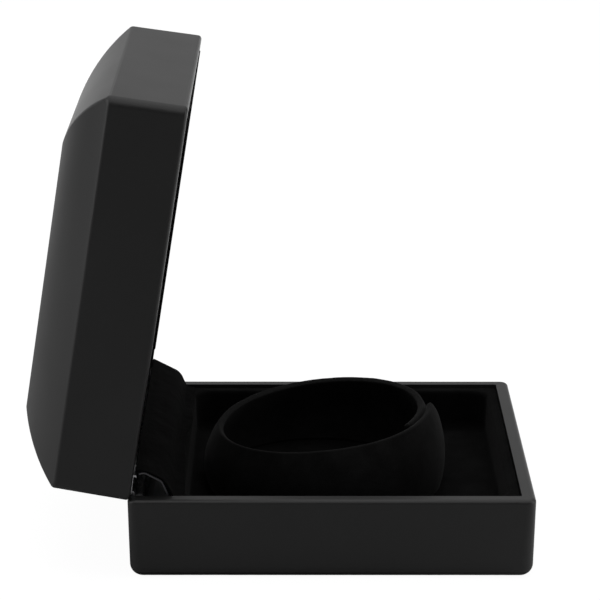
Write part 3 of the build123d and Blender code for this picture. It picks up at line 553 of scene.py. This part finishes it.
def velvet(look, name, sheen, lift=1.0, painted_rim_highlight=False):
    """Deep pile, darker seen down into it and paler where it lies over; a painted highlight marks
    where it stands apart along a rim.
    """
    finish = Finish(
        name, roughness=0.95, sheen_weight=sheen, sheen_roughness=0.36, specular_ior_level=0.03)
    lie = finish.noise(look.patch, detail=5, roughness=0.62)
    tufts = finish.noise(look.pile, detail=3, roughness=0.7)
    shade = finish.maths(
        "ADD", finish.maths("MULTIPLY", lie, 1 - look.tuft_share),
        finish.maths("MULTIPLY", tufts, look.tuft_share))
    # lift scales the tones: above 1 it is painted light, below 1 it is painted shade
    colour = finish.blend(
        shade, (dimmed(look.colour, lift), dimmed(look.brushed, lift)), (0.42, 0.66))
    # Painted highlight: along the strip's rim and outer end the pile stands apart, and the light it
    # catches there is painted in as a paler colour
    if painted_rim_highlight:
        # The strip's own map runs along it in X and up it in Y
        places = finish.node("ShaderNodeUVMap", uv_map="UVMap").outputs["UV"]
        split = finish.node("ShaderNodeSeparateXYZ", {"Vector": places}).outputs
        rim = finish.spread(split["Y"], 0.0, 1.0, 1 - look.rim_share, 1.0)
        end = finish.spread(split["X"], 0.0, 1.0, 1 - look.end_share, 1.0)
        edges = finish.maths("MAXIMUM", rim, end)
        highlight_mask = finish.maths("MULTIPLY", edges, finish.spread(tufts, 0.45, 1.0))
        colour = finish.mixed(highlight_mask, colour, look.rim_highlight)
    finish.feed("Base Color", colour)
    finish.bump(tufts, look.pile_depth, 0.7)
    return finish.material


def brushed_metal(look, name, colour, roughness, along=(0.06, 1, 1), grain=0.12):
    """Rolled or drawn metal with fine lines along one axis, their width in millimetres."""
    finish = Finish(name, metallic=1.0, ior=2.5)
    lines = finish.noise(grain * MM, detail=4, coords=finish.stretched(along))
    stains = finish.noise(look.stain, detail=4)
    tones = (dimmed(colour, look.stain_share), colour)
    finish.feed("Base Color", finish.blend(stains, tones, (0.35, 0.62)))
    finish.feed("Roughness", finish.spread(lines, roughness - 0.08, roughness + 0.1))
    finish.bump(lines, look.line_depth, 0.5)
    return finish.material


def moulded(name, colour, roughness, texture=0.25, depth=0.008):
    """Plain moulded plastic, with the width and depth of its texture in millimetres."""
    finish = Finish(name, ior=1.47)
    cloud = finish.noise(9 * MM, detail=3)
    finish.feed("Base Color", finish.blend(cloud, (dimmed(colour, 0.86), colour)))
    finish.feed("Roughness", finish.spread(cloud, roughness - 0.04, roughness + 0.05))
    finish.bump(finish.noise(texture * MM, detail=2), depth * MM, 0.5)
    return finish.material


def clear_moulding(name, colour, roughness):
    """Clear plastic with a trace of flow lines."""
    finish = Finish(name, transmission_weight=1.0, ior=1.49)
    flow = finish.noise(1.4 * MM, detail=2, coords=finish.stretched((1, 0.3, 1)))
    finish.feed("Base Color", finish.blend(flow, (dimmed(colour, 0.96), colour)))
    finish.feed("Roughness", finish.spread(flow, roughness, roughness + 0.05))
    finish.bump(flow, 0.01 * MM, 0.3)
    return finish.material


def circuit_green(look):
    """Lacquered board with the tracks showing through as paler lines."""
    finish = Finish("board_lacquer", ior=1.5, coat_weight=0.4, coat_roughness=0.15)
    tracks = finish.node("ShaderNodeTexWave", {
        "Vector": finish.coords, "Scale": 220.0, "Distortion": 3.0, "Detail": 1.0},
        bands_direction="X").outputs["Fac"]
    finish.feed("Base Color", finish.blend(tracks, (look.board, look.track), (0.72, 0.8)))
    finish.feed("Roughness", finish.spread(finish.noise(3 * MM), 0.3, 0.42))
    finish.bump(tracks, 0.03 * MM, 0.4)
    return finish.material


def sleeving(name, colour):
    """Soft insulation of a thin lead."""
    finish = Finish(name, ior=1.45)
    rubbed = finish.noise(2.2 * MM, detail=3)
    finish.feed("Base Color", finish.blend(rubbed, (dimmed(colour, 0.7), colour)))
    finish.feed("Roughness", finish.spread(rubbed, 0.38, 0.55))
    finish.bump(finish.noise(0.2 * MM), 0.006 * MM, 0.4)
    return finish.material


# Pieces

class BRACELETBOX_OT_shells(bpy.types.Operator):
    """Finish the base, its bottom cover and the lid"""

    bl_idname = "bracelet_box.shells"
    bl_label = "Shells"

    def execute(self, context):
        finished(soft_touch(settings(context, "shell")), "base_shell", "bottom_cover", "lid_shell")
        return {"FINISHED"}


class BRACELETBOX_OT_collar(bpy.types.Operator):
    """Roll the velvet collar that the bracelet goes round"""

    bl_idname = "bracelet_box.collar"
    bl_label = "Bangle collar"

    def execute(self, context):
        sizes = settings(context, "collar")
        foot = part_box("bangle_collar")[0][2]
        first = sizes.inner_end - math.tau

        def place(along, level):
            tip = sizes.tip - sizes.tip_round * level ** 4
            turn = first + (tip - first) * along
            past_blend = turn - sizes.inner_end + sizes.lap_lead
            lap = eased(1 + past_blend / sizes.lap_blend)
            out = sizes.flare * (1 - level) + sizes.bulge * 4 * level * (1 - level)
            out += lap * (sizes.strip + sizes.lap_gap)
            x = (sizes.radius_x + out) * math.sin(turn)
            y = sizes.centre - (sizes.radius_y + out) * math.cos(turn)
            rim = sizes.rim - sizes.slope * y
            return Vector((x, y, foot + (rim - foot) * level))

        piece = formed_sheet("bangle_collar_velvet", sizes.columns, sizes.rows, place)
        shaped(piece, "SOLIDIFY", thickness=sizes.strip, offset=0, use_even_offset=True)
        rounded(piece, sizes.rim_round, 4)
        roughened(piece, sizes.lump, sizes.lump_depth)
        roughened(piece, sizes.tuft, sizes.tuft_depth)
        smooth(piece, 60)
        look = settings(context, "velvet")
        # Painted light and a painted highlight: the collar's velvet is made paler than the tray's,
        # and paler still along its rim
        pile = velvet(look, "collar_velvet", look.collar_sheen, look.collar_painted_light, painted_rim_highlight=True)
        dressed(piece, pile, "base", "velvet", "bangle_collar")
        return {"FINISHED"}


# The cover's line, forward of the hinge pin and above it, in millimetres
COVER_LINE = ((1.0, 7.3), (3.6, 6.0), (8.2, 3.6), (9.85, 0.0))
# Places along the hinge and how far the cover's rear edge droops there, in millimetres
COVER_DROOP = ((-44, 1.25), (-20, 0.35), (10, 0.0), (44, 0.0))
# Places along the hinge and how far forward the hem strays there, in millimetres
HEM_WAVE = ((-44, 0.1), (-37.5, 0.8), (-18, 0.1), (0, -0.8), (16, 0.75), (30, -0.35), (44, 0.3))
# Share of its droop by which the rear edge steps clear of the tabs of the shut lid's leaf
DROOP_STEP = 0.13
# Share of the hem's straying that shows where the velvet turns into the hem
FOOT_STRAY = 0.55


def wave(x, knots):
    """Smooth line through places along X and their values."""
    for (x0, v0), (x1, v1) in zip(knots, knots[1:]):
        if x <= x1:
            return v0 + (v1 - v0) * eased((x - x0) / (x1 - x0))
    return knots[-1][1]


def rounded_path(points, radius, steps):
    """Points along a bent line in a plane, with its corners rounded and evenly spaced."""
    turns = 8
    dense = [Vector(points[0])]
    for before, corner, after in zip(points, points[1:], points[2:]):
        before, corner, after = Vector(before), Vector(corner), Vector(after)
        # Just under half of each side, so that two roundings never meet
        reach = min(radius, 0.49 * (before - corner).length, 0.49 * (after - corner).length)
        start = corner + (before - corner).normalized() * reach
        end = corner + (after - corner).normalized() * reach
        for i in range(turns + 1):
            t = i / turns
            dense.append(start.lerp(corner, t).lerp(corner.lerp(end, t), t))
    dense.append(Vector(points[-1]))
    lengths = [(b - a).length for a, b in zip(dense, dense[1:])]
    total = sum(lengths)
    path = []
    for i in range(steps + 1):
        target = total * i / steps
        for a, b, run in zip(dense, dense[1:], lengths):
            if target <= run + 1e-12 or b is dense[-1]:
                path.append(a.lerp(b, min(1.0, target / run if run else 0)))
                break
            target -= run
    return path


def slack(x, across):
    """How far uneven ripples lift the velvet between its two edges, from -1 to 1."""
    # They crowd and spread along the hinge, and die out three quarters of the way to the hem
    crowding = 2.1 * math.sin(0.13 * x / MM)
    return math.sin(math.pi * min(1, 1.35 * across)) * math.sin(0.47 * x / MM + crowding)


class BRACELETBOX_OT_hinge_cover(bpy.types.Operator):
    """Lay the velvet cover over the snap spring, with its uneven hem on the tray"""

    bl_idname = "bracelet_box.hinge_cover"
    bl_label = "Hinge cover"

    def execute(self, context):
        sizes = settings(context, "cover")
        low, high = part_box("hinge_cover")
        tray_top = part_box("tray_insert")[1][2]
        rest = tray_top - hinge_place.z + 0.5 * sizes.sheet

        def place(along, across):
            x = low[0] + (high[0] - low[0]) * along
            stray = wave(x / MM, HEM_WAVE) * MM
            points = [Vector(point) * MM for point in COVER_LINE]
            droop = wave(x / MM, COVER_DROOP) * MM
            points[0] += Vector((DROOP_STEP * droop, -droop))
            points.append(Vector((sizes.reach + FOOT_STRAY * stray, rest + sizes.foot)))
            points.append(Vector((sizes.reach + sizes.hem + stray, rest - sizes.hem_press)))
            spot = rounded_path(points, sizes.bend, sizes.rows)[round(across * sizes.rows)]
            lift = sizes.ripple * slack(x, across)
            return Vector((x, hinge_place.y - spot.x, hinge_place.z + spot.y + lift))

        piece = formed_sheet("hinge_cover_velvet", sizes.columns, sizes.rows, place)
        shaped(piece, "SOLIDIFY", thickness=sizes.sheet, offset=0, use_even_offset=True)
        rounded(piece, sizes.edge_round, 3)
        roughened(piece, sizes.lump, sizes.lump_depth)
        roughened(piece, sizes.tuft, sizes.tuft_depth)
        smooth(piece, 60)
        look = settings(context, "velvet")
        # Painted shade: the cover gets a darker copy of the tray's velvet
        pile = velvet(look, "cover_velvet", look.cover_sheen, look.cover_painted_shade)
        dressed(piece, pile, "base", "velvet", "hinge_cover")
        return {"FINISHED"}


def moved_out(value, low, high, corner, border_low, border_high, border_corner):
    """Carries one coordinate of a rounded rectangle's corner to that of a larger rectangle."""
    if value < (low + high) / 2:
        return border_low + border_corner * (1 - (low + corner - value) / corner)
    return border_high - border_corner * (1 - (value - high + corner) / corner)


def velvet_pocket(name, sizes, mouth, floor, top, lean, border, sheet, mouth_round):
    """A sunken pocket with a flat border, open upwards. Mouth and border are corners in plan."""
    (x0, y0), (x1, y1) = mouth
    piece = block(name, (x0, y0, floor), (x1, y1, top))
    enter(piece)
    pick(piece, "FACE", lambda f: f.normal.z > 0.9)
    bpy.ops.mesh.delete(type="ONLY_FACE")
    pick(piece, "FACE", lambda f: f.normal.z < -0.9)
    bpy.ops.transform.resize(
        value=(1 - 2 * lean / (x1 - x0), 1 - 2 * lean / (y1 - y0), 1))
    pick(piece, "EDGE", lambda e: not level_edge(e, floor) and not level_edge(e, top))
    bpy.ops.mesh.bevel(offset=sizes.corner, segments=sizes.segments, affect="EDGES")
    pick(piece, "EDGE", lambda e: level_edge(e, floor))
    bpy.ops.mesh.bevel(offset=sizes.floor_round, segments=6, affect="EDGES")
    pick(piece, "EDGE", lambda e: level_edge(e, top))
    bpy.ops.mesh.extrude_edges_indiv()
    mesh = bmesh.from_edit_mesh(piece.data)
    for vertex in (v for v in mesh.verts if v.select):
        for axis in (0, 1):
            vertex.co[axis] = moved_out(
                vertex.co[axis], mouth[0][axis], mouth[1][axis], sizes.corner,
                border[0][axis], border[1][axis], sizes.edge_corner)
    mesh.normal_update()
    bmesh.update_edit_mesh(piece.data)
    pick(piece, "EDGE", lambda e: (
        level_edge(e, top) and any(abs(f.normal.z) < 0.5 for f in e.link_faces)))
    bpy.ops.mesh.bevel(offset=mouth_round, segments=5, affect="EDGES")
    bpy.ops.mesh.select_all(action="SELECT")
    bpy.ops.mesh.remove_doubles(threshold=NEAR)
    bpy.ops.mesh.normals_make_consistent(inside=False)
    leave()
    # The sheet gets its thickness underneath, so its floor has to face up
    flattest = max(piece.data.polygons, key=lambda f: f.area)
    if flattest.normal.z < 0:
        enter(piece)
        bpy.ops.mesh.select_all(action="SELECT")
        bpy.ops.mesh.flip_normals()
        leave()
    shaped(piece, "SOLIDIFY", thickness=sheet, offset=-1)
    return piece


class BRACELETBOX_OT_tray(bpy.types.Operator):
    """Form the velvet tray sunk in the base"""

    bl_idname = "bracelet_box.tray"
    bl_label = "Tray"

    def execute(self, context):
        sizes = settings(context, "pocket")
        low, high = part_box("tray_insert")
        mouth = (
            (low[0] + sizes.tray_flange, low[1] + sizes.tray_flange),
            (high[0] - sizes.tray_flange, high[1] - sizes.tray_rear_flange))
        piece = velvet_pocket(
            "tray_velvet", sizes, mouth, low[2] + sizes.tray_sheet, high[2], sizes.tray_lean,
            ((low[0], low[1]), (high[0], high[1])), sizes.tray_sheet, sizes.tray_mouth_round)
        rounded(piece, sizes.tray_edge, 2)
        smooth(piece, 50)
        look = settings(context, "velvet")
        pile = velvet(look, "tray_flock", look.sheen)
        dressed(piece, pile, "base", "velvet", "tray_insert")
        return {"FINISHED"}


def shut_box(node):
    """The corners of a lid's node with the lid shut."""
    shut = opened().inverted()
    places = [shut @ v.co for v in frame["nodes"][node].data.vertices]
    return tuple(Vector([end(p[axis] for p in places) for axis in range(3)]) for end in (min, max))


class BRACELETBOX_OT_liner(bpy.types.Operator):
    """Form the lid's velvet liner, with its holes for the light, the battery door and the switch"""

    bl_idname = "bracelet_box.liner"
    bl_label = "Lid liner"

    def execute(self, context):
        sizes = settings(context, "pocket")
        low, high = shut_box("lid_liner")
        low.z += sizes.liner_sunk
        high.y = hinge_place.y - sizes.liner_rear
        flange = sizes.liner_flange
        # Built with its mouth up and then turned over, so Y and Z change sign
        mouth = ((low.x + flange, -high.y + flange), (high.x - flange, -low.y - flange))
        piece = velvet_pocket(
            "lid_liner_velvet", sizes, mouth, -high.z + sizes.liner_sheet, -low.z, sizes.liner_lean,
            ((low.x, -high.y), (high.x, -low.y)), sizes.liner_sheet, sizes.liner_mouth_round)
        put(piece, Matrix.Rotation(math.pi, 4, "X"))
        cut_away(piece, self.holes(sizes, high.z - PAST, high.z + PAST))
        bay = block(
            "bay", (low.x - PAST, hinge_place.y - sizes.bay_reach, low.z - PAST),
            (high.x + PAST, high.y + PAST, hinge_place.z + sizes.bay_height))
        cut_away(piece, [bay], solver="FAST")
        rounded(piece, sizes.liner_edge, 2)
        smooth(piece, 50)
        put(piece, opened())
        look = settings(context, "velvet")
        pile = velvet(look, "liner_flock", look.sheen)
        dressed(piece, pile, "lid", "velvet", "lid_liner")
        return {"FINISHED"}

    def holes(self, sizes, bottom, top):
        """Shapes to take out of the liner, round the pieces that come through it."""
        room = sizes.hole_room
        low, high = shut_box("battery_door")
        door = block(
            "door_hole", (low.x - room, low.y - room, low.z - PAST),
            (high.x + room, high.y + room, high.z + PAST))
        low, high = shut_box("light_lens")
        centre = (low + high) / 2
        radius = (high.x - low.x) / 2 + sizes.light_wall + room
        light = bar("light_hole", radius, bottom, top, centre.x, centre.y)
        low, high = shut_box("switch_plunger")
        centre = (low + high) / 2
        switch = bar("switch_hole", sizes.switch_hole, bottom, top, centre.x, centre.y, sides=32)
        return [door, light, switch]


class BRACELETBOX_OT_hinge(bpy.types.Operator):
    """Finish the steel leaves, pin, rivets and snap spring"""

    bl_idname = "bracelet_box.hinge"
    bl_label = "Hinge"

    def execute(self, context):
        look = settings(context, "metal")
        leaf = brushed_metal(look, "spring_steel", look.leaf, 0.3)
        finished(leaf, "hinge_base_leaf", "hinge_lid_leaf")
        spring = brushed_metal(look, "blued_spring", look.snap_spring, 0.42)
        finished(spring, "snap_spring_plate")
        finished(brushed_metal(look, "pin_steel", look.pin, 0.22, grain=0.08), "hinge_pin")
        rivets = brushed_metal(look, "rivet_steel", look.rivet, 0.34, EVEN, grain=0.3)
        finished(rivets, "base_leaf_rivets", "lid_leaf_rivets")
        return {"FINISHED"}


class BRACELETBOX_OT_fasteners(bpy.types.Operator):
    """Finish the screws"""

    bl_idname = "bracelet_box.fasteners"
    bl_label = "Screws"

    def execute(self, context):
        look = settings(context, "metal")
        plated = brushed_metal(look, "screw_plating", look.screw, 0.36, EVEN, grain=0.25)
        finished(plated, "bottom_screws", "spring_plate_screws", "board_screws", "door_screws")
        return {"FINISHED"}


class BRACELETBOX_OT_light(bpy.types.Operator):
    """Finish the light's bezel, lens, lamp and board"""

    bl_idname = "bracelet_box.light"
    bl_label = "Light"

    def execute(self, context):
        look = settings(context, "plastic")
        finished(moulded("bezel_gloss", look.bezel, 0.16), "light_bezel")
        finished(clear_moulding("lens_clear", look.lens, 0.03), "light_lens")
        finished(clear_moulding("lamp_clear", look.lamp, 0.12), "led_lamp")
        finished(circuit_green(look), "light_board")
        return {"FINISHED"}


class BRACELETBOX_OT_battery(bpy.types.Operator):
    """Finish the battery holder, its cells, contacts and door"""

    bl_idname = "bracelet_box.battery"
    bl_label = "Battery"

    def execute(self, context):
        plastic = settings(context, "plastic")
        metal = settings(context, "metal")
        finished(moulded("holder_moulding", plastic.holder, 0.5), "battery_holder")
        door = moulded("door_moulding", plastic.door, 0.46, texture=0.4, depth=0.014)
        finished(door, "battery_door")
        finished(brushed_metal(metal, "cell_can", metal.cell, 0.18, EVEN, grain=0.4), "coin_cells")
        contact = brushed_metal(metal, "contact_plating", metal.contact, 0.28, along=(1, 1, 0.1))
        finished(contact, "battery_contact_plus", "battery_contact_minus")
        return {"FINISHED"}


class BRACELETBOX_OT_switch(bpy.types.Operator):
    """Finish the switch that the shut box presses"""

    bl_idname = "bracelet_box.switch"
    bl_label = "Switch"

    def execute(self, context):
        look = settings(context, "plastic")
        finished(moulded("switch_moulding", look.switch, 0.4), "switch_body")
        finished(moulded("plunger_moulding", look.plunger, 0.35), "switch_plunger")
        self.coil(settings(context, "metal"))
        return {"FINISHED"}

    def coil(self, look):
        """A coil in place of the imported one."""
        press = joints["plunger_press"]
        along = Vector(press["axis"]).normalized()
        piece = bpy.data.objects.new("switch_coil", frame["nodes"]["switch_spring"].data.copy())
        bpy.context.scene.collection.objects.link(piece)
        enter(piece)
        bpy.ops.mesh.select_all(action="SELECT")
        bpy.ops.mesh.remove_doubles(threshold=NEAR)
        leave()
        smooth(piece, 40)
        ends = sorted((v.co.copy() for v in piece.data.vertices), key=along.dot)
        wire = brushed_metal(look, "coil_steel", look.coil, 0.3, EVEN)
        dressed(piece, wire, "lid", "spring_steel", "switch_spring")
        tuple(ends[-1])
        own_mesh(piece)


class BRACELETBOX_OT_leads(bpy.types.Operator):
    """Finish the leads between the cells, the switch and the board"""

    bl_idname = "bracelet_box.leads"
    bl_label = "Leads"

    def execute(self, context):
        look = settings(context, "plastic")
        finished(sleeving("red_sleeving", look.red_lead), "red_lead", "switch_lead")
        finished(sleeving("black_sleeving", look.black_lead), "black_lead")
        return {"FINISHED"}


# Studio

# Each lamp's name, place in metres, side in metres, power in watts, and whether gloss mirrors it
LAMPS = (
    ("top_lamp", (0.1, 0.0, 0.9), 0.9, 7.0, False),
    ("left_lamp", (-0.1, 0.9, 0.35), 0.7, 2.5, True),
    ("right_lamp", (-0.1, -0.9, 0.35), 0.7, 2.0, True),
    ("near_lamp", (-0.9, 0.1, 0.5), 0.6, 0.8, False),
)


def area_lamp(name, place, side, power, mirrored):
    """A soft square lamp that faces the middle of the box."""
    data = bpy.data.lights.new(name, "AREA")
    data.size = side
    data.energy = power
    lamp = bpy.data.objects.new(name, data)
    bpy.context.scene.collection.objects.link(lamp)
    middle = (Vector(cad_box[0]) + Vector(cad_box[1])) / 2
    lamp.location = place
    lamp.rotation_euler = (middle - Vector(place)).to_track_quat("-Z", "Y").to_euler()
    lamp.visible_glossy = mirrored


def room_light(sizes):
    """A pale room: plain white to the camera, bright in gloss and soft on everything else."""
    world = bpy.data.worlds.new("pale_room")
    bpy.context.scene.world = world
    world.use_nodes = True
    room = Nodes(world.node_tree)
    rays = room.node("ShaderNodeLightPath").outputs
    towards = room.node("ShaderNodeTexCoord").outputs["Generated"]
    split = room.node("ShaderNodeSeparateXYZ", {"Vector": towards}).outputs

    # Brightest at the far horizon, falling off with height and towards the camera
    climb = room.maths("MULTIPLY", split["Z"], sizes.mirror_climb)
    level = room.maths("ADD", room.maths("SUBTRACT", split["X"], climb), sizes.mirror_reach)
    level = room.maths("MAXIMUM", room.maths("DIVIDE", level, 1 + sizes.mirror_reach), 0.0)
    level = room.maths("POWER", level, 2.0)
    left = room.eased_spread(split["Y"], 1.0, 1 - sizes.left_shade, sizes.left_span)
    level = room.maths("MULTIPLY", level, left)
    walls = room.spread(level, sizes.near_mirror, sizes.far_mirror, 0.0, 1.0)
    ceiling = room.eased_spread(split["Z"], 0.0, sizes.top_mirror, sizes.top_span)
    gloss = room.node("ShaderNodeMix", {
        "Factor": rays["Is Glossy Ray"], "A": sizes.sky, "B": room.maths("ADD", walls, ceiling)})
    seen = room.node("ShaderNodeMix", {
        "Factor": room.maths("MAXIMUM", rays["Is Camera Ray"], rays["Is Transmission Ray"]),
        "A": gloss.outputs["Result"], "B": 1.0})
    back = room.nodes["Background"]
    back.inputs["Color"].default_value = (1, 1, 1, 1)
    room.links.new(seen.outputs["Result"], back.inputs["Strength"])


def pale_floor(sizes):
    """A plain floor that shows white to the camera and keeps the object's shadow."""
    floor = added(
        "floor", bpy.ops.mesh.primitive_plane_add, size=sizes.floor_size,
        location=(0, 0, -sizes.floor_drop))
    finish = Finish("floor_white", roughness=0.8)
    mottled = finish.noise(400 * MM, detail=2)
    tones = (dimmed(sizes.floor_colour, 0.99), sizes.floor_colour)
    finish.feed("Base Color", finish.blend(mottled, tones))
    glow = finish.node("ShaderNodeEmission", {"Color": (1, 1, 1, 1), "Strength": sizes.floor_white})
    rays = finish.node("ShaderNodeLightPath").outputs
    seen = finish.maths("MAXIMUM", rays["Is Camera Ray"], rays["Is Transmission Ray"])

    # Gloss sees the floor grow brighter ahead of the camera and towards the right
    split = finish.node("ShaderNodeSeparateXYZ", {"Vector": finish.coords}).outputs
    sideways = finish.maths("MULTIPLY", split["Y"], sizes.floor_turn)
    away = finish.maths("SUBTRACT", split["X"], sideways)
    far = finish.eased_spread(away, 0.0, sizes.floor_mirror, sizes.floor_span)
    mirrored = finish.maths("MULTIPLY", rays["Is Glossy Ray"], far)
    amount = finish.maths("MAXIMUM", finish.maths("MULTIPLY", seen, sizes.floor_glow), mirrored)
    mix = finish.node("ShaderNodeMixShader", {
        0: amount, 1: finish.shader.outputs["BSDF"], 2: glow.outputs["Emission"]})
    surface = finish.nodes["Material Output"].inputs["Surface"]
    finish.links.new(mix.outputs["Shader"], surface)
    floor.data.materials.append(finish.material)


def photo_camera(sizes):
    """A camera that sees the box as the photograph does."""
    data = bpy.data.cameras.new("photo_camera")
    data.lens = sizes.camera_lens
    data.clip_start = 0.01
    data.clip_end = 50
    camera = bpy.data.objects.new("photo_camera", data)
    bpy.context.scene.collection.objects.link(camera)
    turn = (
        Matrix.Rotation(sizes.camera_heading, 4, "Z")
        @ Matrix.Rotation(math.pi / 2 - sizes.camera_pitch, 4, "X")
        @ Matrix.Rotation(sizes.camera_roll, 4, "Z"))
    camera.matrix_world = Matrix.Translation(sizes.camera_place) @ turn
    bpy.context.scene.camera = camera


class BRACELETBOX_OT_stage(bpy.types.Operator):
    """Set the camera, the pale floor and the soft lamps"""

    bl_idname = "bracelet_box.stage"
    bl_label = "Studio"

    def execute(self, context):
        sizes = settings(context, "stage")
        pale_floor(sizes)
        room_light(sizes)
        for lamp in LAMPS:
            area_lamp(*lamp)
        photo_camera(sizes)
        context.scene.view_settings.view_transform = "Standard"
        return {"FINISHED"}


groups = {
    "shell": ShellLook,
    "velvet": VelvetLook,
    "metal": MetalLook,
    "plastic": PlasticLook,
    "collar": CollarSizes,
    "cover": CoverSizes,
    "pocket": PocketSizes,
    "stage": StageSizes,
}
operators = (
    BRACELETBOX_OT_shells,
    BRACELETBOX_OT_tray,
    BRACELETBOX_OT_collar,
    BRACELETBOX_OT_hinge_cover,
    BRACELETBOX_OT_liner,
    BRACELETBOX_OT_hinge,
    BRACELETBOX_OT_fasteners,
    BRACELETBOX_OT_light,
    BRACELETBOX_OT_battery,
    BRACELETBOX_OT_switch,
    BRACELETBOX_OT_leads,
    BRACELETBOX_OT_stage,
)


class BRACELETBOX_PT_panel(bpy.types.Panel):
    """Pieces of the box, in the order in which they are made"""

    bl_idname = "BRACELETBOX_PT_panel"
    bl_label = "Bracelet Box"
    bl_space_type = "VIEW_3D"
    bl_region_type = "UI"
    bl_category = "Bracelet Box"

    def draw(self, context):
        for operator in operators:
            self.layout.operator(operator.bl_idname)


def register():
    for name, group in groups.items():
        bpy.utils.register_class(group)
        setattr(bpy.types.Scene, "bracelet_box_" + name, PointerProperty(type=group))
    for operator in operators:
        bpy.utils.register_class(operator)
    bpy.utils.register_class(BRACELETBOX_PT_panel)


def unregister():
    bpy.utils.unregister_class(BRACELETBOX_PT_panel)
    for operator in reversed(operators):
        bpy.utils.unregister_class(operator)
    for name, group in groups.items():
        delattr(bpy.types.Scene, "bracelet_box_" + name)
        bpy.utils.unregister_class(group)


def main():
    register()
    for operator in operators:
        category, name = operator.bl_idname.split(".")
        getattr(getattr(bpy.ops, category), name)()


if __name__ == "__main__":
    main()
